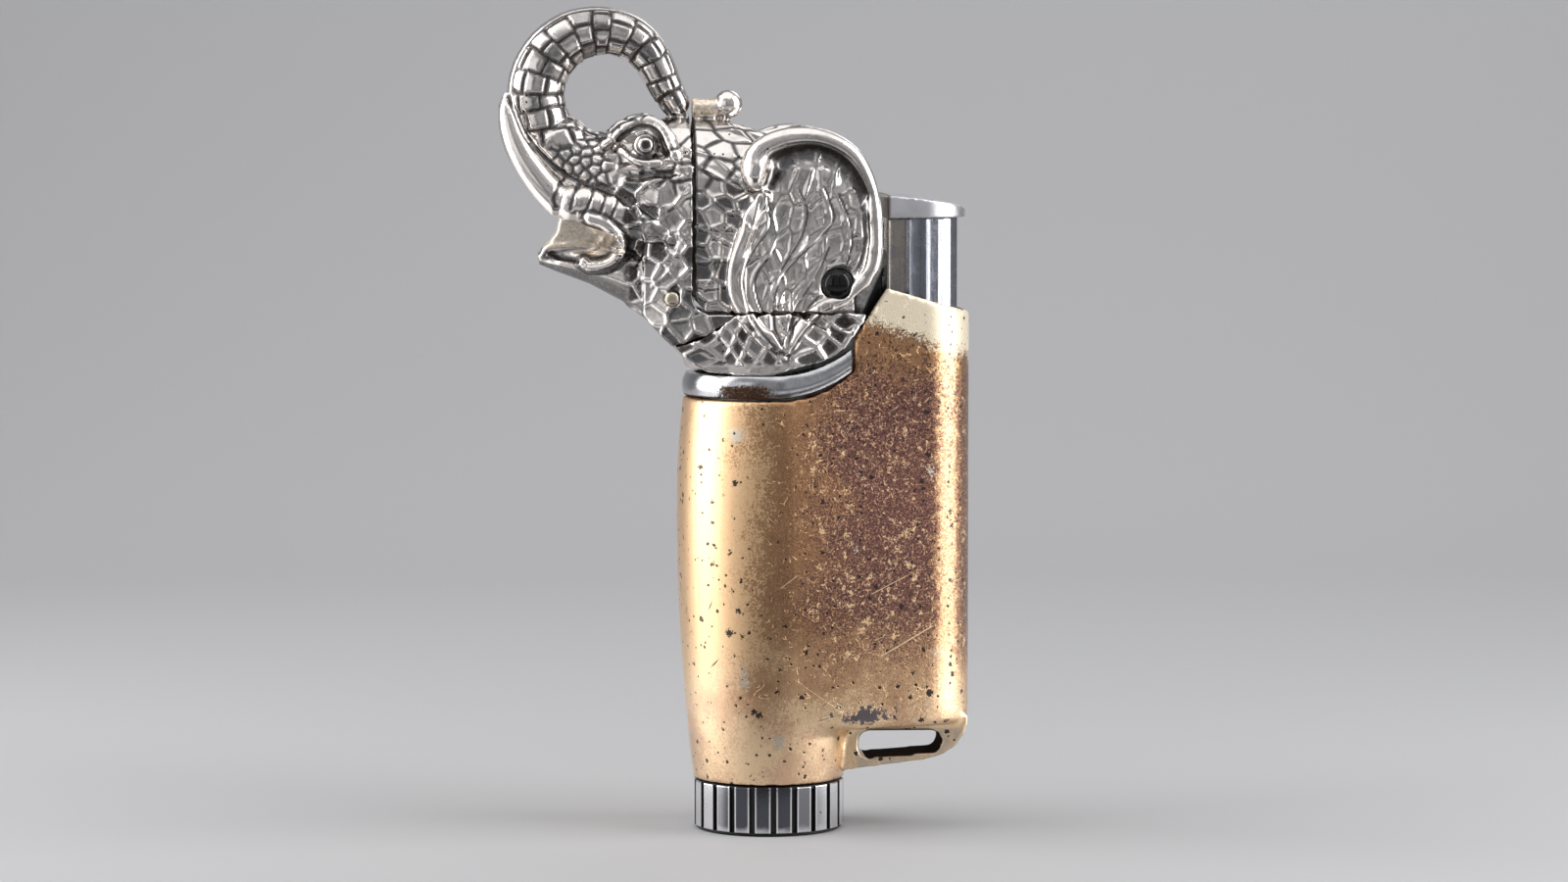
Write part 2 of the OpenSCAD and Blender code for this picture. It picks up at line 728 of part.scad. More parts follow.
// The lever: a hub between the ears of the chassis with the drive arm, and
// side plates that are screwed to the cap's flanks.
pocket = ear_field - 0.95;
plate_y = pocket - 0.1;
bar_z = pivot_z + 5;
screw_x = 6.6;
screw_z = 79.5;
module cap_lever() {
    color([0.66, 0.67, 0.7])
        difference() {
            union() {
                cross_pin(pivot_x, pivot_z, 2.4, ear_in - 0.3);
                cross_pin(pivot_x, bar_z, 1, plate_y);
                translate([pivot_x - 1, -ear_in + 0.3, pivot_z])
                    cube([2, 2 * ear_in - 0.6, bar_z - pivot_z]);
                translate([pivot_x, 0, pivot_z])
                    rotate([0, -cap_swing / 2, 0])
                        translate([0, -1.4, -1.1]) cube([arm, 2.8, 2.2]);
                translate([drive_x, 0, drive_z])
                    rotate([90, 0, 0])
                        cylinder(r = 1.3, h = 2.8, center = true);
                cross_pin(drive_x, drive_z, drive_pin_r, 3.65);
                for (s = [-1, 1])
                    translate([0, s * (plate_y - 0.6), 0])
                        side_cut(0.6)
                            union() {
                                translate([pivot_x, pivot_z]) circle(r = 2.7);
                                translate([pivot_x - 1.6, pivot_z]) square([3.2, bar_z - pivot_z + 1]);
                                polygon([[pivot_x - 1.6, bar_z], [pivot_x + 1.6, bar_z],
                                    [screw_x + 1.5, screw_z], [screw_x - 1.5, screw_z]]);
                                translate([screw_x, screw_z]) circle(r = 1.5);
                            }
            }
            cross_pin(pivot_x, pivot_z, pin_r + seat, 20);
            cross_pin(screw_x, screw_z, 0.75, 20);
        }
}
module cap_screws() {
    color([0.72, 0.73, 0.75])
        for (s = [-1, 1])
            translate([screw_x, s * plate_y, screw_z])
                rotate([90 * s, 0, 0])
                    union() {
                        translate([0, 0, 1.22]) cylinder(r = 1.2, h = 0.6);
                        translate([0, 0, -0.5]) cylinder(r = 0.7, h = 1.8);
                    }
}

// The elephant's head
// One form, split into three castings: the fixed front with the face, trunk and
// jaw, the cap behind the upright split, and the neck.

// An upright arch across the head: full flanks below, a crown on top
arch_steps = 10;
function arch(x, low, spring, top, half, power = 2.3) = concat(
    [[x, -half, low]],
    [for (i = [0 : 2 * arch_steps]) let (a = 180 - 90 * i / arch_steps)
        [x, half * sign(cos(a)) * pow(abs(cos(a)), 2 / power),
            spring + (top - spring) * pow(abs(sin(a)), 2 / power)]],
    [[x, half, low]]
);
// A closed ring across a slanted line of growth, for muzzle and jaw
ring_steps = 22;
function ring(x, z, tilt, high, half, power = 2.2) =
    [for (i = [0 : ring_steps - 1])
        let (a = 360 * i / ring_steps,
             u = high * sign(sin(a)) * pow(abs(sin(a)), 2 / power),
             v = half * sign(cos(a)) * pow(abs(cos(a)), 2 / power))
        [x + u * sin(tilt), -v, z + u * cos(tilt)]];
// A chain of balls [x, y, z, r], each joined to the next
module chain(balls, sides = 14) {
    for (i = [0 : len(balls) - 2])
        hull() {
            translate([balls[i][0], balls[i][1], balls[i][2]]) sphere(r = balls[i][3], $fn = sides);
            translate([balls[i + 1][0], balls[i + 1][1], balls[i + 1][2]])
                sphere(r = balls[i + 1][3], $fn = sides);
        }
}
// The skull, whose crown falls away behind the ears. Each station is
// [x, low, spring, top, half]; d insets it for the hollow.
skull_stations = [
    [14, 58, 70, 77, flank - 0.6], [12.6, 58, 71, 80.5, flank - 0.3], [9, 58, 72, 84.5, flank],
    [4, 58, 73, 87.5, flank], [-1, 58, 74, 89, flank], [-5, 58, 75, 90.3, flank],
    [-10, 60, 76, 90.6, flank - 0.1], [-13.4, 63, 77, 90.6, flank - 0.9],
    [-16.2, 66, 78, 90, flank - 2.2]
];
module skull(d = 0) {
    skin([for (q = skull_stations) arch(q[0], q[1], q[2], q[3] - d, q[4] - d)]);
}
module muzzle() {
    skin([
        ring(-11, 78.6, 0, 9.5, flank - 0.4), ring(-15.5, 80.5, 12, 8.9, flank - 1.3),
        ring(-19.5, 82.3, 24, 7.3, flank - 2.6), ring(-23.1, 84.2, 36, 5.7, 5.2),
        ring(-26, 86.2, 50, 4.6, 4.4), ring(-28.9, 90.2, 72, 3.9, 3.8)
    ]);
}
module jaw() {
    skin([
        ring(-9, 68.5, 0, 6.5, flank - 0.4), ring(-13.5, 69.2, 0, 5.4, flank - 1.4),
        ring(-18, 71, 10, 3.6, 5.9), ring(-22.5, 72.2, 8, 2.5, 4.8), ring(-26.5, 72.7, 4, 1.6, 3.5),
        ring(-29.2, 72.9, 0, 0.7, 1.7)
    ]);
}
// The mouth's inside, a web between the lips
module mouth() {
    side_cut(3)
        polygon([[-18, 80], [-26.4, 78.6], [-26.9, 76.3], [-28.1, 74.7], [-29.05, 73.22], [-18, 71]]);
}
// The throat spreads to the collar
module throat() {
    loft([
        [57, egg(0, throat_r - 0.6, 9, 8.2)], [58.3, egg(0, throat_r - 0.5, 9, 8.2)],
        [61, egg(-0.9, throat_r - 0.7, 9, 8.3)], [63, egg(-3, throat_r - 1.2, 9, 8.4)],
        [65, egg(-5.2, throat_r - 1.6, 9, 8.5)], [67.5, egg(-7, throat_r - 2, 9, 8.6)]
    ]);
}
// The trunk rises from the face, curls over and comes down on the brow
trunk_line = [
    [-29, 90.4, 0.96], [-29.5, 93.2, 0.93], [-29, 96.2, 0.93], [-27.4, 98.9, 0.9],
    [-25, 100.8, 0.86], [-22.3, 101.6, 0.82], [-19.6, 101.5, 0.78], [-17.2, 100.6, 0.73],
    [-15.3, 98.9, 0.67], [-14, 96.7, 0.61], [-13, 94.5, 0.56], [-11.9, 92.6, 0.5]
];
module trunk() {
    chain([for (p = trunk_line) [p[0], 0, p[1], trunk_r * p[2]]], 16);
    chain([[-11.9, 0, 92.3, 1.7], [-10.6, 0, 91.9, 1.45], [-8.9, 0, 91.8, tip_r],
        [-7.2, 0, 91.8, tip_r], [-6.2, 0, 91.9, 1.1]]);
    translate([-5.1, 0, 92.35]) sphere(r = bead_r, $fn = 20);
}
// A tusk curls up along the trunk, from its sheath above the lip
tusk_line = [
    [-23.4, 5.6, 79.9, 1.16], [-26.2, 5.7, 79.9, 1.02], [-28.4, 5.6, 82, 0.95],
    [-30.4, 5.3, 84.6, 0.87], [-31.9, 5, 87.3, 0.77], [-32.8, 4.6, 89.9, 0.65],
    [-33.1, 4.2, 92, 0.5], [-32.9, 3.9, 93.4, 0.3]
];
sheath_line = [[-12.5, 7, 75.2, 0.5], [-16, 6.6, 77.2, 0.9], [-20, 6, 78.8, 1.2], [-23.4, 5.6, 79.9, 1.22]];
module tusk(s) {
    chain([for (p = tusk_line) [p[0], s * p[1], p[2], tusk_r * p[3]]], 12);
    chain([for (p = sheath_line) [p[0], s * p[1], p[2], tusk_r * p[3]]], 12);
}
// An eye under its brow
module eye(s) {
    translate([-15.9, s * 6.5, 87.3]) sphere(r = eyeball_r, $fn = 18);
    chain([[-20.6, s * 4.6, 87.6, 0.8], [-18.6, s * 5.6, 89.2, 0.95], [-16, s * 6, 90, 1],
        [-13.6, s * 6.8, 88.8, 0.95], [-12, s * 7.8, 86.2, 0.8]], 8);
    chain([[-19, s * 6, 86.6, 0.5], [-17, s * 7.1, 85.4, 0.6], [-14.4, s * 7.6, 85.3, 0.55]], 8);
}
// An ear: a thin field with a rolled rim, and folds that run to its point
ear_line = [
    [-2.2, 82.9, 1.3], [-2.6, 84.8, 1.45], [-1.4, 86.8, 1.5], [1.3, 88, 1.5], [4.2, 88.3, 1.45],
    [7.2, 87.7, 1.35], [9.9, 86, 1.25], [11.6, 83.2, 1.1], [12.5, 80, 1], [12.7, 76, 1],
    [12.3, 73, 1], [11, 70.7, 1], [8.6, 68.6, 1], [6, 66.9, 1], [3.9, 65, 1], [2.6, 63.3, 0.9],
    [1.4, 61.6, 0.7], [-0.6, 62.9, 0.9], [-2.6, 64.9, 1], [-4.2, 67.3, 1.05], [-4.6, 70, 1.1],
    [-4.4, 73, 1.1], [-3.6, 76, 1.1], [-2.4, 78.6, 1], [-0.9, 81, 0.8]
];
ear_root = flank - 1.7;
module ear(s) {
    roll_y = ear_field - 0.1;
    translate([0, s * (ear_field + ear_root) / 2, 0])
        side_cut((ear_field - ear_root) / 2)
            offset(delta = -0.3)
                polygon([for (p = ear_line) [p[0], p[1]]]);
    chain([for (p = ear_line) [p[0], s * roll_y, p[1], ear_roll * p[2]]], 10);
    chain([[-0.5, s * roll_y, 80.5, 0.5], [-1, s * roll_y, 75, 0.7], [0.6, s * roll_y, 69, 0.7],
        [1.3, s * roll_y, 64, 0.5]], 8);
    chain([[4.5, s * roll_y, 82, 0.4], [5.5, s * roll_y, 77, 0.6], [3, s * roll_y, 71.5, 0.6],
        [2, s * roll_y, 66, 0.5]], 8);
}
module head_form() {
    skull();
    muzzle();
    jaw();
    mouth();
    throat();
    trunk();
    for (s = [-1, 1]) {
        tusk(s);
        eye(s);
        ear(s);
    }
}

// The three zones, seen from the side. The front's jaw reaches under the
// corner of the cap, down to the fold of the throat.
corner_r = 2;
half_gap = split_gap / 2;
module front_zone() {
    polygon([[-60, 130], [-split_x - half_gap, 130], [-split_x - half_gap, split_z + corner_r + 0.2],
        [-split_x + 0.05, split_z + 1], [-split_x + 0.75, split_z + 0.25],
        [-split_x + 1.8, split_z - half_gap], [-4.7, split_z - half_gap], [-6.1, 64.9],
        [-7.9, 63.8], [-9.8, 63], [-12.2, 62.3], [-16, 61.4], [-60, 61.4]]);
}
module cap_zone() {
    hull() {
        translate([-split_x + half_gap + corner_r, split_z + half_gap + corner_r])
            circle(r = corner_r, $fn = 24);
        translate([-split_x + half_gap, 100]) square(1);
        translate([13.75, 92]) square(1);
        translate([13.75, 74]) square([0.02, 1]);
        translate([12.9, 68.3]) square(0.02);
        translate([11.9, split_z + half_gap]) square(0.02);
    }
}
module neck_zone() {
    polygon([[11.95, split_z - half_gap], [10.85, 64.4], [9.95, 63.2], [9, 62], [7.4, 60.9],
        [5.4, 60], [2.6, 59.3], [-0.2, 58.9], [-3.6, 58.8], [-8.5, 59.3], [-14, 59.6], [-14, 61.6],
        [-12.3, 62], [-9.9, 62.7], [-8.1, 63.5], [-6.3, 64.6], [-4.6, split_z - half_gap]]);
}

// The cap: a shell that stands open below, in front and behind, so that the
// burner, the chassis and the sinking button all fit between its flanks.
cap_wall = 1.2;
rear_open_z = 82.4;
rear_open_x = 9;
module cap_cavity() {
    difference() {
        skull(cap_wall);
        side_cut(20) translate([-20, 40]) square([60, split_z - 40 - 1]);
    }
    side_cut(flank - cap_wall + 0.05)
        translate([rear_open_x, split_z - 1]) square([20, rear_open_z - split_z + 1]);
    side_cut(pocket)
        polygon([[4.2, 60], [4.2, 82], [10, 81.6], [20, 81], [20, 60]]);
}
module cap_shell() {
    color([0.78, 0.78, 0.79])
        difference() {
            intersection() {
                head_form();
                side_cut(20) cap_zone();
            }
            cap_cavity();
            cross_pin(pivot_x, pivot_z, pin_head_r + seat, 20);
            cross_pin(screw_x, screw_z, 0.72, pocket + 0.6);
        }
}
// The fixed front of the head, hollowed from behind. The neck's tongue goes up
// into it, and the jaw pin holds the two together.
tongue_half = 3;
jaw_pin_x = -12.6;
jaw_pin_z = 68.1;
jaw_pin_r = 0.95;
module tongue_side(d = 0) {
    offset(delta = d)
        polygon([[-10.9, 60.8], [-13.6, 66.5], [-13.6, 69], [-13, 70], [-11.6, 70], [-10.8, 66], [-8.4, 60.8]]);
}
module head_front() {
    color([0.78, 0.78, 0.79])
        difference() {
            intersection() {
                head_form();
                side_cut(20) front_zone();
            }
            side_cut(6.6)
                polygon([[-9, 71.5], [-12, 72], [-13.3, 75], [-13.3, 83], [-12.3, 86], [-9, 87]]);
            side_cut(tongue_half + 0.1) tongue_side(0.1);
            cross_pin(jaw_pin_x, jaw_pin_z, jaw_pin_r + seat, 20);
        }
}
module jaw_pin() {
    color([0.7, 0.63, 0.5]) cross_pin(jaw_pin_x, jaw_pin_z, jaw_pin_r, flank - 0.7);
}
// The neck, a hollow throat that stands on the collar. Its flanks are drawn in
// round the hinge, where the cap's flanks swing past them.
swing_r = 6.1;
swing_half = pocket - 0.3;
module neck() {
    color([0.76, 0.76, 0.78])
        difference() {
            union() {
                intersection() {
                    head_form();
                    side_cut(20) neck_zone();
                }
                side_cut(tongue_half) tongue_side();
            }
            side_cut(neck_in)
                polygon([[-7.4, 57], [-7.4, 62.3], [-5.8, 63.8], [-5.6, 70], [20, 70], [20, 57]]);
            for (s = [-1, 1])
                translate([pivot_x, s * (swing_half + 3), pivot_z])
                    rotate([90, 0, 0])
                        cylinder(r = swing_r, h = 6, center = true);
            cross_pin(jaw_pin_x, jaw_pin_z, jaw_pin_r + seat, 20);
        }
}

// The polished collar between neck and body: a rounded strap that follows the
// body's plan and rises with the scoop towards its two ends.
strap_h = 2.9;
strap_t = 1.5;
strap_ends = 10.05;
strap_steps = 30;
function strap_rise(x) = x < 0 ? 0 : 3.3 * pow(x / strap_ends, 2.2);
function strap_point(a, out) =
    let (x0 = throat_r * cos(a),
         slope = asin((throat_r - rear_r) / rear_x),
         flat = a < 90 - slope || a > 270 + slope)
    flat
        ? let (side = a < 180 ? 1 : -1, t = a < 180 ? a : 360 - a,
               x = throat_r * sin(slope) + (strap_ends - throat_r * sin(slope)) * (1 - t / (90 - slope)))
          [x + out * sin(slope), side * ((throat_r - x * sin(slope)) / cos(slope) + out * cos(slope))]
        : [(throat_r + out) * cos(a), (throat_r + out) * sin(a)];
module collar() {
    bead = [[-strap_t, 0], [-strap_t, strap_h], [-0.6, strap_h], [-0.35, 2.7], [0, 2.1], [0.12, 1.2],
        [0.05, 0.5], [-0.15, 0]];
    color([0.8, 0.8, 0.81])
        skin([for (i = [0 : strap_steps])
            let (a = min(max(360 * i / strap_steps, 0.01), 359.99))
            [for (b = bead) let (p = strap_point(a, b[0]))
                [p[0], p[1], throat_z + 0.15 + strap_rise(strap_point(a, 0)[0]) + b[1]]]]);
}

body_shell();
adjuster_core();
adjuster_sleeve();
wheel_bush();
wheel_clip();
regulator_sleeve();
regulator_seal();
fill_valve_body();
fill_valve_stem();
fill_valve_spring();
fill_valve_seal();
fuel_tank();
tank_lid();
tank_seal();
gas_riser();
outlet_valve();
valve_nozzle();
valve_spring();
gas_lever();
gas_lever_pin();
chassis();
chassis_screws();
burner_deck();
burner_tube();
wind_shield();
electrode();
electrode_wire();
piezo_housing();
piezo_plunger();
return_spring();
button_stem();
button_plate();
hinge_pin();
cap_lever();
cap_screws();
cap_shell();
head_front();
neck();
collar();
jaw_pin();
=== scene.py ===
import math

import bmesh
import bpy
import numpy as np
from mathutils import Matrix, Vector


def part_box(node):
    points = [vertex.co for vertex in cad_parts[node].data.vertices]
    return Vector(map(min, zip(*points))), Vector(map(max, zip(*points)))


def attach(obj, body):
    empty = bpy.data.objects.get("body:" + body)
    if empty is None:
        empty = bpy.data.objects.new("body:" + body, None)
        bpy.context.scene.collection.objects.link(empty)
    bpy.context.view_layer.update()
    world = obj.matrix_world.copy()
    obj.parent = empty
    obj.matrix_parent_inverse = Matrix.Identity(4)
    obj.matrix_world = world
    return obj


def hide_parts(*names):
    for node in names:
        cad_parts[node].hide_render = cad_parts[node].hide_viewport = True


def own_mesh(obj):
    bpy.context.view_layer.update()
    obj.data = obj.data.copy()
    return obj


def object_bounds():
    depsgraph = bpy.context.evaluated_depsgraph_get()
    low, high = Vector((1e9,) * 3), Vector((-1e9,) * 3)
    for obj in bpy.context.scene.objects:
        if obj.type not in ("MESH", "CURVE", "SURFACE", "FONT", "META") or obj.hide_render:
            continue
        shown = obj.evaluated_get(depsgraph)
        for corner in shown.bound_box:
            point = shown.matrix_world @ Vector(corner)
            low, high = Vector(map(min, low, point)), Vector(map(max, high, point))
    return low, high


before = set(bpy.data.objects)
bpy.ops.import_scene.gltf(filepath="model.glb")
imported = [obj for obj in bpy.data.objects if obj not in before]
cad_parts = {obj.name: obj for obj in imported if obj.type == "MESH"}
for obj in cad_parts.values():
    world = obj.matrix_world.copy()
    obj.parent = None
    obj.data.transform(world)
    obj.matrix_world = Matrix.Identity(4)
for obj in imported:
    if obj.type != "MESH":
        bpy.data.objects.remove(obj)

cad_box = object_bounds()
scene = bpy.context.scene
scene.view_settings.view_transform = "Standard"


# The camera stands a little to the front of the lighter's side and a little
# above it, with a long lens, as in the photograph.
aim = Vector((0.002, 0, 0.0495))
turn, rise, away = math.radians(-4), math.radians(4.6), 0.65
back = Vector((math.sin(turn) * math.cos(rise), -math.cos(turn) * math.cos(rise), math.sin(rise)))
camera = bpy.data.objects.new("camera", bpy.data.cameras.new("camera"))
camera.data.lens = 117
camera.data.sensor_width = 36
camera.location = aim + back * away
camera.rotation_mode = "QUATERNION"
camera.rotation_quaternion = (-back).to_track_quat("-Z", "Y")
scene.collection.objects.link(camera)
scene.camera = camera


# A seamless sheet of pale grey paper: it lies under the lighter and sweeps up behind it without a fold. Its
# colour is painted shade and light: darker near the camera, lighter towards the back, and lighter again in
# a band beyond the front for the metal to mirror. In front of the picture a black strip, and at its sides
# white sheets, are painted on the paper as painted reflections: the metal mirrors them, the camera sees
# none.
def fill(node, values):
    """Links a node's inputs to sockets, and sets plain values and colours on the others."""
    for name, value in values.items():
        socket = node.inputs[name]
        if isinstance(value, bpy.types.NodeSocket):
            node.id_data.links.new(value, socket)
        else:
            socket.default_value = (*value, 1) if socket.type == "RGBA" else value


def add(kind, values, tree=None, **settings):
    """A new shader node, in the tree of the sockets that feed it."""
    if not tree:
        tree = next(v.id_data for v in values.values() if isinstance(v, bpy.types.NodeSocket))
    node = tree.nodes.new("ShaderNode" + kind)
    for name, value in settings.items():
        setattr(node, name, value)
    fill(node, values)
    return node


def calc(operation, a, b=0.0, c=0.0):
    """A sum on single values."""
    return add("Math", {0: a, 1: b, 2: c}, operation=operation).outputs[0]


def times(value, *others):
    """The product of all."""
    for other in others:
        value = calc("MULTIPLY", value, other)
    return value


def plus(value, more, share=1.0):
    """The value, with a share of more added."""
    return calc("MULTIPLY_ADD", more, share, value)


def most(value, *others):
    """The greatest of all."""
    for other in others:
        value = calc("MAXIMUM", value, other)
    return value


def fade(value, start, end, low=0.0, high=1.0):
    """low at start, high at end, with a soft turn at each."""
    span = {"Value": value, "From Min": start, "From Max": end, "To Min": low, "To Max": high}
    return add("MapRange", span, interpolation_type="SMOOTHSTEP").outputs["Result"]


def tint(share, first, second):
    """The first colour, with a share of the second."""
    return add("Mix", {0: share, 6: first, 7: second}, data_type="RGBA").outputs[2]


def vector(operation, a, b=(0, 0, 0)):
    """A sum on places: a new place, or a number for a length or a product."""
    node = add("VectorMath", {0: a, "Scale" if operation == "SCALE" else 1: b}, operation=operation)
    return node.outputs["Value" if operation in ("LENGTH", "DOT_PRODUCT") else "Vector"]


def bump(height, strength, distance=0.0001):
    """The normal of a surface that is raised and pitted by so many metres."""
    return add("Bump", {"Height": height, "Strength": strength, "Distance": distance}).outputs["Normal"]


def noise(place, scale, detail, roughness=0.5):
    """Clouds or grain."""
    values = {"Vector": place, "Scale": scale, "Detail": detail, "Roughness": roughness}
    return add("TexNoise", values).outputs["Fac"]


def new_material(name):
    """An empty material with its shader, and the place on the piece in millimetres."""
    material = bpy.data.materials.new(name)
    material.use_nodes = True
    shader = material.node_tree.nodes["Principled BSDF"]
    place = add("TexCoord", {}, shader.id_data).outputs["Object"]
    return material, shader, vector("SCALE", place, 1000.0)


def new_piece(name, shape, material, smooth=True):
    """An object at the origin, for a finished mesh or for a shape that becomes one."""
    mesh = shape
    if isinstance(shape, bmesh.types.BMesh):
        mesh = bpy.data.meshes.new(name)
        shape.to_mesh(mesh)
    piece = bpy.data.objects.new(name, mesh)
    scene.collection.objects.link(piece)
    mesh.materials.clear()
    mesh.materials.append(material)
    mesh.polygons.foreach_set("use_smooth", [smooth] * len(mesh.polygons))
    return piece


paper, shader, place = new_material("backdrop_paper")
axis = add("SeparateXYZ", {0: place}).outputs
depth = axis["Y"]
fibre = noise(place, 0.9, 3)
# Painted shade and light on the paper: darker near the camera, lighter towards the back, and lighter in a
# band further in front.
pale = tint(fade(depth, -40, 420), (0.33, 0.329, 0.334), (0.435, 0.433, 0.443))
front = tint(fade(depth, -330, -230), (0.25, 0.249, 0.254), (0.43, 0.428, 0.435))
pale = tint(fade(depth, -110, -140), pale, front)
# Painted reflections: a black strip in front and white sheets at the sides, seen only by rays that are not
# camera rays.
strip = plus(depth, axis["X"], 0.07)
strip = times(fade(strip, -42.5, -46), fade(depth, -135, -115))
unseen = calc("SUBTRACT", 1.0, add("LightPath", {}, shader.id_data).outputs["Is Camera Ray"])
strip = times(strip, unseen)
pale = tint(strip, pale, (0.02, 0.02, 0.022))
sides = times(fade(depth, -85, -65), fade(depth, 70, 50), fade(calc("ABSOLUTE", axis["X"]), 40, 60))
pale = tint(times(sides, unseen), pale, (0.8, 0.8, 0.8))
fill(shader, {"Base Color": tint(times(fibre, 0.06), pale, (0.34, 0.34, 0.35)), "Roughness": 0.75,
              "Specular IOR Level": 0.2})
sheet = bmesh.new()
bmesh.ops.create_grid(sheet, x_segments=1, y_segments=1, size=1.3)
rear = [e for e in sheet.edges if all(v.co.y > 1 for v in e.verts)]
raised = bmesh.ops.extrude_edge_only(sheet, edges=rear)["geom"]
for v in raised:
    if isinstance(v, bmesh.types.BMVert):
        v.co.z = 1.9
for v in sheet.verts:
    v.co.y = min(v.co.y, 0.75)
    v.co.y = max(v.co.y, -1.1)
bmesh.ops.bevel(sheet, geom=rear, offset=0.45, segments=24, profile=0.5, affect="EDGES", material=-1)
bmesh.ops.recalc_face_normals(sheet, faces=sheet.faces)
if sum(f.normal.z for f in sheet.faces) < 0:
    bmesh.ops.reverse_faces(sheet, faces=sheet.faces)
backdrop = new_piece("backdrop", sheet, paper)


# The studio: a tall soft box at each side gives the two upright highlights of
# the lacquered body, a dim one beside the camera warms its front, one above
# lights the crown, and dark cards give the metal something black to mirror.
def soft_box(name, direction, distance, width, height, power):
    """A rectangular lamp that looks at the lighter from that direction."""
    lamp = bpy.data.lights.new(name, "AREA")
    lamp.shape = "RECTANGLE"
    lamp.size, lamp.size_y, lamp.energy = width, height, power
    box = bpy.data.objects.new(name, lamp)
    scene.collection.objects.link(box)
    direction = Vector(direction).normalized()
    box.location = aim + direction * distance
    box.rotation_mode = "QUATERNION"
    box.rotation_quaternion = direction.to_track_quat("Z", "Y")


soft_box("left_box", (-0.99, -0.03, 0.25), 0.3, 0.25, 0.5, 1.85)
soft_box("front_box", (-0.66, -0.75, 0.2), 0.8, 0.55, 0.6, 0.62)
soft_box("right_box", (0.95, -0.31, 0.25), 0.3, 0.22, 0.5, 1.85)
soft_box("top_box", (-0.1, -0.15, 1), 0.75, 1.1, 0.9, 3.0)
soft_box("rear_box", (0.55, 0.85, 0.75), 0.8, 0.5, 0.4, 0.9)
world = bpy.data.worlds.new("studio")
world.use_nodes = True
world.node_tree.nodes["Background"].inputs["Color"].default_value = (0.41, 0.415, 0.43, 1)
world.node_tree.nodes["Background"].inputs["Strength"].default_value = 1
scene.world = world

black_card, shader, place = new_material("black_card")
fill(shader, {"Base Color": (0.012, 0.012, 0.013), "Roughness": 0.9})
for name, x, y, width in (("card_left", -0.2, -0.6, 0.1), ("card_right", 0.13, -0.6, 0.05)):
    card_mesh = bmesh.new()
    bmesh.ops.create_grid(card_mesh, x_segments=1, y_segments=1, size=0.5)
    for v in card_mesh.verts:
        v.co = Vector((x + v.co.x * width, y, 0.2 + v.co.y * 0.42))
    new_piece(name, card_mesh, black_card)


# The head is cast zinc, chromed and then darkened in its folds. Face, cap and neck are three castings with
# one skin, worked as a carver would: each is a fine copy of its solid, with lines raised or cut in it. The
# same darkening also carries painted shade: under the chin, inside the scales, along the cap's edges and on
# the neck's diamonds.
def nearest(spots, path):
    """How far each spot is from a path, from which stretch of it, and how far along that."""
    best = np.full(len(spots), 1e9)
    stretch = np.zeros(len(spots), int)
    share = np.zeros(len(spots))
    for i, (a, step) in enumerate(zip(path, np.diff(path, axis=0))):
        t = np.clip(((spots - a) @ step) / max(step @ step, 1e-9), 0, 1)
        gap = np.linalg.norm(spots - a - t[:, None] * step, axis=1)
        closer = gap < best
        best[closer], stretch[closer], share[closer] = gap[closer], i, t[closer]
    return best, stretch, share


def read(items, name, kind=float, each=3):
    """A value of every vertex or edge, with a row for each."""
    found = np.empty(len(items) * each, kind)
    items.foreach_get(name, found)
    return found.reshape(-1, each)


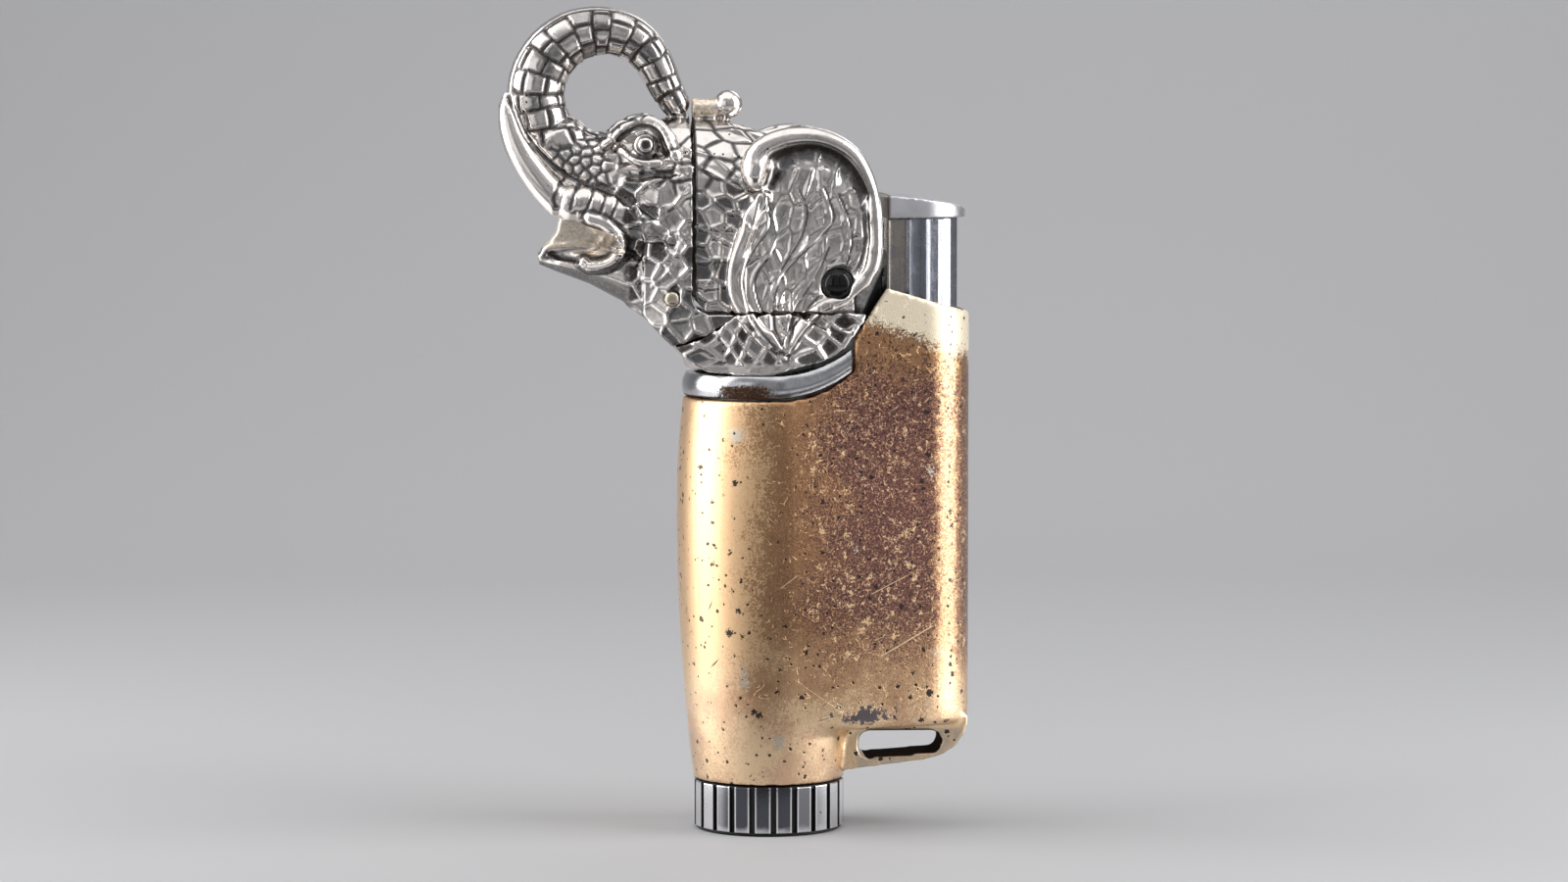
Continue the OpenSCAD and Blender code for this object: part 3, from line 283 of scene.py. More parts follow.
class Form:
    """A fine copy of a solid, worked in millimetres."""

    def __init__(self, node, fine, coarse):
        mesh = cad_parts[node].data.copy()
        solid = bmesh.new()
        solid.from_mesh(mesh)
        bmesh.ops.remove_doubles(solid, verts=solid.verts, dist=2e-6)
        solid.to_mesh(mesh)
        holder = bpy.data.objects.new(node + "_fine", mesh)
        scene.collection.objects.link(holder)
        remesh = holder.modifiers.new("fine", "REMESH")
        remesh.mode = "VOXEL"
        remesh.voxel_size = fine / 1000
        remesh.use_smooth_shade = True
        graph = bpy.context.evaluated_depsgraph_get()
        self.mesh = bpy.data.meshes.new_from_object(holder.evaluated_get(graph))
        bpy.data.objects.remove(holder)
        self.count = len(self.mesh.vertices)
        self.co = read(self.mesh.vertices, "co") * 1000
        self.ends = read(self.mesh.edges, "vertices", int, 2)
        self.valence = np.bincount(self.ends.ravel(), minlength=self.count)
        self.fold, self.polish, self.stain = np.zeros((3, self.count))
        self.start()

    def darken(self, shade):
        """Makes these points at least so dark: patina in folds, and painted shade where a caller paints
        shade.
        """
        self.fold = np.maximum(self.fold, shade)

    def cut(self, depth):
        """Cuts the layer at least so deep."""
        self.down = np.maximum(self.down, depth)

    def around(self, values):
        """The mean of each point's neighbours."""
        a, b = self.ends.T
        total = np.bincount(a, values[b], self.count) + np.bincount(b, values[a], self.count)
        return total / np.maximum(self.valence, 1)

    def soften(self, rounds, share=1.0, back=-0.52):
        """Smooths out facets and steps; the step back keeps the form from shrinking."""
        for strength in (0.5, back) * rounds:
            middle = np.stack([self.around(self.co[:, i]) for i in range(3)], 1)
            self.co += (middle - self.co) * strength * (share if np.isscalar(share) else share[:, None])

    def start(self):
        """Settles what was done and begins a new layer of lines."""
        self.mesh.vertices.foreach_set("co", (self.co / 1000).ravel())
        self.mesh.update()
        self.normal = read(self.mesh.vertices, "normal")
        self.up, self.down = np.zeros((2, self.count))

    def settle(self):
        """Moves the surface by the layer of raised and cut lines."""
        self.co += self.normal * (self.up - self.down)[:, None]
        self.start()

    def line(self, points, width, height, reach=0.25, low=0.5, high=14.0, dark=0.0, shine=0.0):
        """A raised or cut line through points in side view, on both flanks."""
        path = smooth_path(points)
        x, y, z = self.co.T
        side = self.normal[:, 1] * np.sign(y)
        lo, hi = path.min(0) - 3 * width, path.max(0) + 3 * width
        near = np.nonzero((x > lo[0]) & (x < hi[0]) & (z > lo[1]) & (z < hi[1])
                          & (abs(y) > low) & (abs(y) < high) & (side > 0.02))[0]
        gap = nearest(self.co[near][:, [0, 2]], path)[0]
        shape = bell(gap, width) * np.clip(side[near] / reach, 0, 1)
        target = self.up if height > 0 else self.down
        target[near] = np.maximum(target[near], abs(height) * shape)
        if height < 0 or dark:
            self.fold[near] = np.maximum(self.fold[near], (dark or 0.9) * shape)
        if height > 0:
            self.fold[near] *= 1 - 0.8 * shape
        if shine:
            self.polish[near] = np.maximum(self.polish[near], np.clip(shape * shine, 0, 1))

    def cord(self, path, spread=0.8):
        """Rounds skin to a smooth cord on both sides, from places x, y, z with a radius."""
        line = smooth_path(path, 0.8)
        side = np.where(self.co[:, 1] < 0, -1, 1)[:, None] * (0, 1, 0) + (1, 0, 1)
        spot = self.co * side
        gap, stretch, t = nearest(spot, line[:, :3])
        here = line[stretch] + t[:, None] * (line[stretch + 1] - line[stretch])
        centre, radius = here[:, :3], here[:, 3]
        out = (spot - centre) / np.maximum(gap, 0.01)[:, None]
        share = rise_to((out * self.normal * side).sum(1), 0.25, 0.6)
        share *= 1 - rise_to(abs(gap - radius), 0.6 * spread, spread)
        self.co = (spot + out * ((radius - gap) * share)[:, None]) * side
        self.start()
        return share

    def bead(self, path, radius, depth=2.5):
        """Lays a round bead on both flanks along places x, y, z."""
        line = smooth_path(path, 0.3)
        across = abs(self.co[:, 1])
        gap = np.full(self.count, 1e9)
        height = np.zeros(self.count)
        for place in line:
            off = np.hypot(self.co[:, 0] - place[0], self.co[:, 2] - place[2])
            closer = off < gap
            gap[closer] = off[closer]
            height[closer] = place[1]
        top = height + np.sqrt(np.maximum(radius ** 2 - gap ** 2, 0))
        inside = (gap < radius) & (across > height - depth) & (across < top)
        self.co[inside, 1] = (np.sign(self.co[:, 1]) * top)[inside]
        beside = bell(gap - radius - 0.15, 0.22) * (across > height - depth)
        self.fold = np.maximum(self.fold * (gap > radius), 0.85 * beside * (gap > radius - 0.1))
        self.polish = np.maximum(self.polish, gap < radius)
        self.start()

    def finish(self, name, material):
        """The finished mesh, with how dark (patina and painted shade), how polished and how stained each
        point is.
        """
        self.co = np.clip(self.co, np.array(cad_box[0]) * 1000, np.array(cad_box[1]) * 1000)
        self.start()
        for key, values in (("fold", self.fold), ("polish", self.polish), ("stain", self.stain)):
            layer = self.mesh.attributes.new(key, "FLOAT", "POINT")
            layer.data.foreach_set("value", np.clip(values, 0, 1))
        self.mesh.name = name
        return new_piece(name, self.mesh, material)


def smooth_path(points, step=0.35):
    """Points along a smooth curve through the given ones."""
    p = np.array([points[0], *points, points[-1]], float)
    found = []
    for a, b, c, d in zip(p[:-3], p[1:-2], p[2:-1], p[3:]):
        for t in np.arange(0, 1, 1 / max(2, int(np.linalg.norm(c - b) / step))):
            found.append(0.5 * (2 * b + (c - a) * t + (2 * a - 5 * b + 4 * c - d) * t * t
                                + (3 * b - a - 3 * c + d) * t ** 3))
    return np.array(found + [p[-1]])


def rise_to(values, start, end):
    """0 below start, 1 above end, with a soft turn at each."""
    t = np.clip((values - start) / (end - start), 0, 1)
    return t * t * (3 - 2 * t)


def falls(values, start, end):
    """1 below start, 0 above end, with a soft turn at each."""
    return rise_to(-values, -end, -start)


def bell(values, width):
    """1 at zero, and a smooth fall to both sides."""
    return np.exp(-(values / width) ** 2)


def scales(form, where, gap, seed, stretch=(1, 1), turned=0, wall=0.0, groove=0.0, tip=0.1, width=0.2,
           shade=1.0):
    """Splits the skin into cells about gap wide, each tipped its own way, with lines between. With walls,
    each cell's hollow is painted darker, some cells more than others: painted shade.
    """
    rng = np.random.default_rng(seed)
    c, s = math.cos(math.radians(turned)), math.sin(math.radians(turned))
    flat = form.co * (1, 0, 1) + np.abs(form.co) * (0, 1, 0)
    skewed = np.stack([(flat[:, 0] * c + flat[:, 2] * s) / stretch[0], flat[:, 1],
                       (flat[:, 2] * c - flat[:, 0] * s) / stretch[1]], 1)
    spots = np.nonzero(where > 0.02)[0]
    chosen = np.empty((0, 3))
    for p in skewed[rng.permutation(spots)[:7000]]:
        if not len(chosen) or ((chosen - p) ** 2).sum(1).min() > gap ** 2:
            chosen = np.vstack([chosen, p])
    lean = rng.normal(size=(len(chosen), 3))
    for start in range(0, len(spots), 4000):
        part = spots[start:start + 4000]
        away = ((skewed[part][:, None] - chosen[None]) ** 2).sum(2)
        first = np.argpartition(away, 3, axis=1)[:, :4]
        order = np.argsort(np.take_along_axis(away, first, 1), 1)
        first = np.take_along_axis(first, order, 1)
        own = chosen[first[:, 0]]
        edge = np.full(len(part), 9.0)
        for k in (1, 2, 3):
            other = chosen[first[:, k]]
            across = other - own
            size = np.linalg.norm(across, axis=1)
            edge = np.minimum(edge, (((own + other) / 2 - skewed[part]) * across).sum(1) / size)
        mark = bell(edge, width) * where[part]
        slope = ((skewed[part] - own)
                 * lean[first[:, 0]]).sum(1) * tip * where[part] * rise_to(edge, 0, 0.45)
        form.up[part] += np.clip(slope, -0.12, 0.14) + wall * mark
        form.down[part] = np.maximum(form.down[part], groove * mark)
        form.fold[part] = np.maximum(form.fold[part], mark * (0.85 if groove > wall else 0.25))
        if wall:
            # Painted shade in each cell's hollow, scaled by shade.
            hollow = rise_to(edge, 0.12, 0.4) * where[part]
            form.down[part] += 0.07 * rise_to(edge, 0.1, 0.8) * where[part]
            form.fold[part] = np.maximum(form.fold[part], (0.25 + 0.2 * np.sin(first[:, 0] * 2.4)) * hollow
                                         * shade)


def outward(form, middle_z=77.0):
    """1 where the skin faces out, 0 on cut faces and inside the hollow."""
    from_axis = form.co * (0, 1, 1) - (0, 0, middle_z)
    size = np.maximum(np.linalg.norm(from_axis, axis=1), 0.1)
    facing = (from_axis * form.normal).sum(1) / size
    return rise_to(facing, 0.1, 0.45)


def near_path(form, path):
    """How far each point is from a path in side view, how far along, and to which side."""
    spot = form.co[:, [0, 2]]
    gap, stretch, t = nearest(spot, path)
    steps = np.diff(path, axis=0)
    sizes = np.linalg.norm(steps, axis=1)
    run = np.cumsum(sizes) - sizes
    step, size = steps[stretch], sizes[stretch]
    off = spot - path[stretch] - t[:, None] * step
    return gap, run[stretch] + t * size, (step[:, 0] * off[:, 1] - step[:, 1] * off[:, 0]) / size


def mark_group():
    """Small specks in cells: each has its own size, and a share of the cells has none."""
    group = bpy.data.node_groups.new("specks", "ShaderNodeTree")
    group.interface.new_socket("Place", in_out="INPUT", socket_type="NodeSocketVector")
    for name in ("Spacing", "Size", "Share", "Ragged"):
        group.interface.new_socket(name, in_out="INPUT", socket_type="NodeSocketFloat")
    group.interface.new_socket("Mask", in_out="OUTPUT", socket_type="NodeSocketFloat")
    given = group.nodes.new("NodeGroupInput")
    result = group.nodes.new("NodeGroupOutput")
    inputs = given.outputs
    wander = add("TexNoise", {"Vector": inputs["Place"], "Scale": 3.5, "Detail": 2}).outputs["Color"]
    wander = vector("SUBTRACT", wander, (0.5, 0.5, 0.5))
    wander = vector("SCALE", wander, inputs["Ragged"])
    spot = vector("ADD", inputs["Place"], wander)
    cells = add("TexVoronoi", {"Vector": spot, "Scale": calc("DIVIDE", 1.0, inputs["Spacing"])})
    chance = add("SeparateColor", {0: cells.outputs["Color"]}).outputs
    there = calc("LESS_THAN", chance[0], inputs["Share"])
    size = times(plus(0.2, chance[1], 0.8), inputs["Size"])
    inside = calc("SUBTRACT", size, times(cells.outputs["Distance"], inputs["Spacing"]))
    mask = times(fade(inside, -0.02, 0.03), there)
    fill(result, {"Mask": mask})
    return group


specks = mark_group()


def speck(place, spacing, size, share, ragged=0.0):
    """The specks as a mask in a material."""
    node = place.id_data.nodes.new("ShaderNodeGroup")
    node.node_tree = specks
    fill(node, {"Place": place, "Spacing": spacing, "Size": size, "Share": share, "Ragged": ragged})
    return node.outputs["Mask"]


def painted(shader, name):
    """What a form says at each point: its darkness from patina and painted shade, its polish or its stain.
    """
    return add("Attribute", {}, shader.id_data, attribute_name=name).outputs["Fac"]


chrome_skin, shader, place = new_material("darkened_chrome")
fold = painted(shader, "fold")
polish = painted(shader, "polish")
cloud = noise(place, 0.35, 4, 0.6)
fine = noise(place, 2.6, 5, 0.65)
stain = painted(shader, "stain")
haze = times(fade(cloud, 0.45, 0.75), calc("SUBTRACT", 1.0, polish))
skin_colour = tint(haze, (0.75, 0.705, 0.67), (0.56, 0.525, 0.49))
# Dark steel for patina in folds and for painted shade, and bronze-black where this darkening is deepest.
shade = fade(plus(fold, fine, 0.2), 0.1, 0.55)
skin_colour = tint(shade, skin_colour, (0.20, 0.19, 0.188))
darkening = fade(plus(fold, fine, 0.5), 0.7, 1.25)
bronze = tint(fade(fine, 0.3, 0.6), (0.055, 0.033, 0.022), (0.012, 0.01, 0.009))
skin_colour = tint(darkening, skin_colour, bronze)
tan = tint(fade(fine, 0.35, 0.65), (0.88, 0.79, 0.66), (0.58, 0.47, 0.36))
stain = fade(plus(stain, fine, 0.4), 0.35, 0.85)
skin_colour = tint(stain, skin_colour, tan)
pits = speck(place, 1.1, 0.17, 0.5, 0.25)
metal = times(fade(darkening, 0.3, 1, 1, 0.6), fade(stain, 0, 1, 1, 0.7))
dull = plus(fade(cloud, 0.3, 0.8, 0.17, 0.31), darkening, 0.3)
dull = plus(dull, stain, 0.12)
hammer = noise(place, 1.3, 3, 0.5)
hammer = times(hammer, plus(1.0, polish, -0.7))
relief = calc("SUBTRACT", times(hammer, 0.3), times(pits, 0.25))
fill(shader, {"Base Color": tint(pits, skin_colour, (0.02, 0.016, 0.014)), "Metallic": metal,
              "Roughness": plus(dull, pits, 0.3), "Normal": bump(relief, 0.3, 0.00025)})


# The face: brow, eye, tusks and lips stay smooth, and the trunk is covered in
# rows of scales that follow it round its curl.
face = Form("head_front", 0.22, 0.4)
face.soften(14)
face.start()
trunk = [(-28.9, 90.2, 3.82), (-29.5, 93.2, 3.63), (-29, 96.2, 3.63), (-27.4, 98.9, 3.51),
         (-25, 100.8, 3.35), (-22.3, 101.6, 3.14), (-19.6, 101.5, 2.98), (-17.2, 100.6, 2.8),
         (-15.3, 98.9, 2.57), (-14, 96.7, 2.34), (-13, 94.5, 2.14), (-11.9, 92.6, 1.9)]
face.cord([(a, 0, b, r) for a, b, r in trunk])
tusk = face.cord([(-25.4, 5.7, 79.8, 2.2), (-26.4, 5.7, 80.1, 2.14), (-28.4, 5.6, 82, 2.0),
                  (-30.4, 5.3, 84.6, 1.83), (-31.9, 5, 87.3, 1.62), (-32.8, 4.6, 89.9, 1.37),
                  (-33.1, 4.2, 92, 1.05), (-32.9, 3.9, 93.4, 0.63)])
face.cord([(-12.5, 7, 75.2, 1.05), (-16, 6.6, 77.2, 1.9), (-20, 6, 78.8, 2.52), (-23.4, 5.6, 79.9, 2.56),
           (-25, 5.6, 80, 2.4)])
face.cord([(-20.6, 4.6, 87.6, 0.8), (-18.6, 5.6, 89.2, 0.95), (-16, 6, 90, 1), (-13.6, 6.8, 88.8, 0.95),
           (-12, 7.8, 86.2, 0.8)], 0.5)
face.line([(-21.3, 87.2), (-18.7, 89.1), (-16.5, 90.4), (-14.5, 90.1), (-13.2, 88), (-12, 85.6),
           (-9.9, 84.3)], 0.6, 0.5, shine=1)
face.line([(-18.9, 87.6), (-18.2, 86.4), (-17.2, 85.5), (-15.9, 85), (-14.5, 85), (-13.2, 85.4)], 0.42,
          0.4, shine=1)
face.line([(-19.2, 84.5), (-17.9, 84.7), (-15.7, 84.3), (-13.5, 84.4), (-10, 84.5)], 0.45, 0.3, shine=1)
face.line([(-18.5, 82.6), (-16.8, 82.5), (-14.6, 83), (-11.6, 83.2)], 0.4, 0.28, shine=1)
face.line([(-17.9, 83.5), (-16.5, 83.4), (-14.4, 83.7), (-12.4, 83.8)], 0.5, -0.4, dark=0.45)
face.line([(-29.3, 73.5), (-28.1, 74.3), (-25.9, 74.6), (-23, 74.5), (-20.6, 74.1)], 0.4, 0.4, shine=1)
face.settle()
face.soften(4)
face.start()
face.line([(-19.2, 88), (-18, 89.1), (-17, 89.6), (-16.1, 89.7), (-15, 89.4), (-14.2, 88.5), (-13.8, 87.4),
           (-13.3, 86.2)], 0.28, -0.4)
face.line([(-18.6, 87.2), (-17.6, 86.2), (-16, 85.8), (-14.4, 86)], 0.2, -0.25)
face.line([(-27.6, 73.35), (-26, 73.1), (-24.6, 72.75), (-23.6, 72.4)], 0.42, -0.6, dark=1)
face.line([(-33, 93.2), (-32, 91.3), (-30.9, 88.7), (-28.8, 86.1), (-25.9, 83.6), (-23.1, 82.5),
           (-20, 81.4), (-18, 80), (-16.3, 77.6)], 0.26, -0.4)
for crease in ([(-25.9, 83.3), (-26.9, 82.1), (-27.5, 80.6), (-27.2, 79.6)],
               [(-24, 82.9), (-24.8, 81.5), (-25.4, 79.4)], [(-22.4, 81.9), (-23.1, 79.9), (-24, 78.2)],
               [(-20.9, 81.3), (-21.4, 79.6), (-22.1, 77.8)], [(-19.2, 81), (-20.1, 78.9), (-20.6, 77.4)]):
    face.line(crease, 0.2, -0.24)
for crease in ([(-18.6, 76.7), (-17.2, 76.9), (-16.4, 76.4), (-15.9, 75.4), (-15.9, 73.8), (-16.6, 72.3),
                (-17.9, 70.8)], [(-15.6, 75.9), (-14, 76.1), (-12.2, 75.9), (-9.9, 76.2)],
               [(-11.6, 76.5), (-11.9, 74.9), (-12.4, 72.7), (-13.5, 71), (-15.1, 69.7)],
               [(-15.3, 73.5), (-13.7, 73.2), (-12.2, 72.9)], [(-13.9, 78.4), (-12.6, 79.7), (-9.9, 82)],
               [(-19.2, 81.5), (-17.7, 80.4), (-16.4, 81.7), (-14.8, 82.8)],
               [(-17.7, 80.4), (-16.8, 78.7), (-16.4, 77)], [(-16.6, 80.9), (-15, 79.5), (-13.7, 78.2)],
               [(-17.9, 74.3), (-17.2, 74.4), (-15.9, 74.2)], [(-14.2, 90.4), (-12.4, 88.5), (-9.9, 86.4)]):
    face.line(crease, 0.17, 0.16)
x, y, z = face.co.T
trunk_line = smooth_path([(-28.6, 87), (-29, 90.4)] + [(a, b) for a, b, _ in trunk[1:]])
off, run, side = near_path(face, trunk_line)
on_trunk = falls(off, 3.9, 4.6) * rise_to(np.where(x < -20, z, 99), 86.5, 88)
on_trunk *= 1 - rise_to(abs(y), 3.1, 3.6) * rise_to(-x, 30.2, 31)
rows = 2.3
level = run / rows + 0.1 * np.sin(run * 1.7 + y)
row = np.floor(level)
turned = np.degrees(np.arctan2(abs(y), side)) / 45 + 0.5 * (row % 2) + 0.15 * np.sin(row * 2.4)
ring_gap = abs(level - row - 0.5)
edge = np.minimum((0.5 - ring_gap) * rows, (0.5 - abs(turned - np.floor(turned) - 0.5)) * 2.6)
from_rim = np.degrees(np.arctan2(abs(y), side))
whole_trunk = on_trunk
on_trunk = on_trunk * rise_to(from_rim, 29, 34)
mark = bell(edge, 0.2) * on_trunk
face.cut(0.2 * mark)
rim_line = bell(from_rim - 30, 3.2) * whole_trunk
face.cut(0.14 * rim_line)
face.darken(0.9 * rim_line)
lean = np.sin(row * 12.9 + np.floor(turned) * 78.2) * 0.05
face.up += np.clip(lean * (level - row - 0.5) * rows + 0.04, 0, 0.12) * rise_to(edge, 0, 0.4) * on_trunk
face.darken(bell(edge, 0.26) * on_trunk)
face.darken(0.3 * rise_to(np.sin(row * 5.3 + np.floor(turned) * 2.9), 0, 1) * on_trunk)
smooth_parts = np.maximum.reduce([
    falls(np.hypot(x + 16, z - 87.5), 2.8, 3.4),
    falls(z, 74, 74.6) * rise_to(-x, 20.5, 21.5),
    rise_to(-x, 23.2, 24.2) * falls(z, 78.5, 79.5),
    rise_to(abs(y), 3.4, 3.9) * rise_to(-x, 27.4, 28.4),
    falls(abs(np.hypot(x + 21.6, z - 74.9) - 2.6), 1.3, 1.7) * rise_to(-x, 17.7, 18.3),
    falls(near_path(face, smooth_path([(-27.4, 81.9), (-23.5, 80.4), (-20.2, 79.1)]))[0], 1.4, 1.9),
    tusk,
    whole_trunk,
])
skin = outward(face) * (1 - np.clip(smooth_parts, 0, 1))
face.polish = np.maximum(face.polish, np.clip(smooth_parts, 0, 1) * (1 - whole_trunk))
small = rise_to(-x, 18.5, 21) * rise_to(z, 80.5, 82.5)
scales(face, skin * small, 1.2, 3, groove=0.2, tip=0.04)
high = rise_to(z + 0.45 * (x + 14), 81, 83)
scales(face, skin * (1 - small) * high, 2.1, 4, groove=0.14, tip=0.05)
chin = rise_to(-x, 17.5, 19) * falls(z, 72, 73)
# The lower cheek's cells get the strongest painted shade in their hollows.
scales(face, skin * (1 - small) * (1 - high) * (1 - chin), 2.05, 5, wall=0.2, tip=0.035, shade=2.1)
face.settle()
face.soften(1)
face.start()
face.bead([(-22.8, 7.6, 78.2), (-21.3, 7.7, 77.7), (-20.2, 7.6, 76.9), (-19.4, 7.2, 75.9),
           (-19.1, 6.6, 74.7), (-19.4, 6.3, 73.4), (-20.3, 6.1, 72.5), (-21.6, 5.8, 72.1),
           (-22.9, 5.4, 72.1), (-23.5, 5.1, 72.5)], 0.85)
face.soften(2)
face.start()
x, y, z = face.co.T
deep = falls(abs(y), 3.7, 4.2) * rise_to(-x, 19.8, 20.6) * falls(z, 78.8, 79.4) * rise_to(z, 73.8, 74.4)
# Painted shade under the chin: its downward faces are darkened.
under = rise_to(-x, 16.5, 18.5) * rise_to(-face.normal[:, 2], 0.25, 0.6) * falls(z, 73.5, 74.5)
face.darken(0.65 * under)
face.stain = np.maximum(face.stain, 0.5 * deep)
face.fold *= 1 - deep
eye = (-15.9, 8.15, 87.45)
eye_off = np.linalg.norm(face.co * (1, 0, 1) + abs(face.co) * (0, 1, 0) - eye, axis=1)
face.co += face.normal * (-0.12 * bell(eye_off - 1.15, 0.16) - 0.1 * bell(eye_off, 0.4))[:, None]
face.darken(0.75 * bell(eye_off - 1.15, 0.2))
face.darken(0.9 * falls(eye_off, 0.45, 0.62))
face_piece = face.finish("face", chrome_skin)
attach(face_piece, "root")
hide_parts("head_front")


# The cap swings on the hinge pin with the thumb button. Its ears are flaps
# with a thick rolled rim and folds that run down to a point.
cap = Form("cap_shell", 0.2, 0.4)
cap.soften(18)
ear_rim = [(-2.3, 83.1, 1.45), (-2.6, 84.8, 1.55), (-1.4, 86.8, 1.5), (1.3, 88, 1.5), (4.2, 88.3, 1.45),
           (7.2, 87.7, 1.35), (9.9, 86, 1.25), (11.6, 83.2, 1.1), (12.5, 80, 1), (12.8, 76, 1),
           (12.6, 73, 1), (11.6, 70.6, 1), (9.2, 68.4, 1), (6, 66.9, 1), (3.9, 65, 1), (2.6, 63.3, 0.9),
           (1.4, 61.6, 0.7), (-0.6, 62.9, 0.9), (-2.6, 64.9, 1), (-4.2, 67.3, 1.05), (-4.6, 70, 1.1),
           (-4.4, 73, 1.1), (-3.6, 76, 1.1), (-2.4, 78.6, 1), (-0.9, 81, 0.8)]
ear_cord = [(a, 9.6, b, r) for a, b, r in ear_rim]
x, y, z = cap.co.T
cap.soften(24, rise_to(abs(y), 9.0, 9.5) * falls(np.hypot(x - 4.4, (z - 76) * 0.85), 6.2, 8.2), 0.5)
cap.start()
cap.cord(ear_cord)
x, y, z = cap.co.T
dish = 0.2 * np.exp(-((x - 4.6) / 5) ** 2 - ((z - 76.5) / 7.5) ** 2) * (abs(y) > 9.2)
cap.cut(dish * np.clip(cap.normal[:, 1] * np.sign(y), 0, 1))
cap.line([(0.8, 85), (2.6, 85.9), (5.1, 86.2), (7.6, 85.2), (9.6, 83.2), (10.8, 81)], 0.9, -1.0, dark=0.35)
cap.line([(0.4, 85.7), (2.4, 86.5), (5.1, 86.8), (7.8, 85.9), (9.9, 83.9), (11.2, 81.4)], 0.85, -0.2,
         dark=1)
cap.line([(-0.2, 82.6), (0.8, 84)], 0.7, -0.8, dark=1)
cap.line([(10.8, 81), (11.4, 78.2), (11.4, 75), (10.4, 72), (8.6, 69.9)], 0.45, -0.4, dark=0.6)
cap.line([(-2.2, 83.9), (-2, 84.4)], 1.25, 0.75, reach=0.1, shine=1)
cap.line([(-3.4, 78.8), (-3.8, 76.3), (-4.8, 73.8), (-5.4, 71.3), (-5.2, 68.8), (-4.3, 67), (-3.4, 65.6)],
         0.42, 0.3, shine=1)
cap.line([(-1.4, 81.5), (-2.4, 80.3), (-3.4, 78.8)], 0.4, 0.3)
cap.settle()
under_roll = near_path(cap, smooth_path([(0, 83.6), (2.6, 84.6), (5.1, 84.8), (7.4, 83.8), (9.2, 82),
                                         (10.4, 79.6)]))[0]
cap.soften(30, falls(under_roll, 1.2, 2) * (abs(cap.co[:, 1]) > 6.5), 0.5)
cap.soften(2)
cap.start()
flap = rise_to(abs(y), 9.0, 9.3) * falls(np.hypot(x - 4.2, (z - 75.6) * 0.8), 7.8, 8.6)
flap = flap * rise_to(abs(y) - 12 * (z > 84.5), 8, 8.4) * np.clip(cap.normal[:, 1] * np.sign(y), 0, 1)
scales(cap, flap, 1.6, 23, stretch=(1, 2), turned=-14, wall=0.19, tip=0.1, width=0.18, shade=0.4)
for vein, wide in (([(-1.2, 81), (-0.9, 78.9), (-0.9, 77.1), (-2.2, 75.1), (-3.4, 73.3), (-4, 71.8),
                     (-4.2, 69.8), (-3.3, 66)], 0.26),
                   ([(0, 75.2), (-0.6, 73.6), (-2.2, 71.6), (-2.7, 69.8), (-2.2, 67.5), (-1.4, 66)], 0.2),
                   ([(-0.5, 66), (-0.1, 69.3), (1.4, 71.8), (4.1, 74.6), (6, 76.4), (7.1, 78), (6.6, 80.3),
                     (5.9, 82)], 0.34), ([(0.6, 71.6), (2.1, 74), (3.5, 76.7), (3.9, 79.4), (2.9, 81.6)],
                                         0.2),
                   ([(2.1, 66), (2.6, 67.2), (4.3, 69.8), (5.6, 72), (6.6, 74.4)], 0.2),
                   ([(3.4, 66), (4.6, 67.6), (7.4, 70.2), (8.8, 72.3), (9.4, 74.6), (9.4, 76.8),
                     (8.9, 78.6), (7.8, 81.2)], 0.24),
                   ([(8.3, 68.6), (9.9, 71.1), (10.9, 74), (11.1, 77), (10.6, 80), (9.6, 82.6)], 0.24)):
    cap.line(vein, wide, 0.22, low=8.6, shine=0.6)
    cap.line([(a + wide + 0.16, b + 0.1) for a, b in vein], 0.13, -0.09, low=8.6, dark=0.6)
for crease in ([(2.6, 68.2), (4.6, 71.2), (5.9, 73.7), (5.1, 75.7)], [(3.9, 75.2), (6.6, 76), (10.6, 77)],
               [(0.1, 75), (1.6, 74), (2.9, 73.5)], [(-1.7, 75), (-2.7, 73.3)], [(8.6, 78.2), (11.3, 79)],
               [(1.6, 78.3), (3.9, 78.5)], [(4.1, 73.2), (5.9, 73.7)],
               [(7.6, 73.2), (9.1, 73.7), (10.9, 73.5)], [(0.6, 69.5), (2.9, 70.2), (5.1, 70.5)],
               [(-0.2, 67.4), (2.1, 67.9), (4.6, 68.4)],
               [(3.1, 82.7), (2.6, 81.8), (4.1, 80.2), (5.6, 81.5)], [(-0.4, 71.4), (1.4, 71.6)],
               [(6.4, 84.5), (5.9, 83), (7.4, 81.7), (8.9, 82.2), (9.6, 83.7)], [(5.4, 78.4), (7, 78.9)],
               [(1.9, 80.2), (1.4, 81.6), (0.3, 81.3), (0.5, 80.2), (1.4, 80.4)], [(6.8, 77.4), (9, 77.9)]):
    cap.line(crease, 0.18, 0.12, low=8.6)
for crease in ([(-9.6, 86.5), (-7.1, 85.7), (-5.1, 84), (-3.3, 82.7)],
               [(-9.9, 84.5), (-7.9, 84), (-5.1, 82.2), (-3.9, 81.7)],
               [(-8.6, 81.7), (-6.6, 79.7), (-4.1, 78.2)],
               [(-9.7, 77.2), (-8.4, 77.2), (-6.4, 76.7), (-5.1, 77.2)],
               [(-6.4, 76.7), (-6.5, 74.2), (-7.1, 71.7), (-8.6, 69.2)],
               [(-9.9, 73.7), (-8.4, 73), (-6.6, 73.2)], [(-9.4, 69.7), (-8.1, 69.5), (-6.1, 69.7)]):
    cap.line(crease, 0.22, 0.22, high=9.4)
x, y, z = cap.co.T
ear_outline = smooth_path([(-2.2, 83)] + [(a, b) for a, b, _ in ear_rim[1:14]])
on_roll = falls(near_path(cap, ear_outline)[0], 1.3, 1.9) * rise_to(abs(y), 8.7, 9.2)
cap.soften(6, on_roll, -0.47)
on_ear = rise_to(abs(y), 9.15, 9.4) * (1 - on_roll)
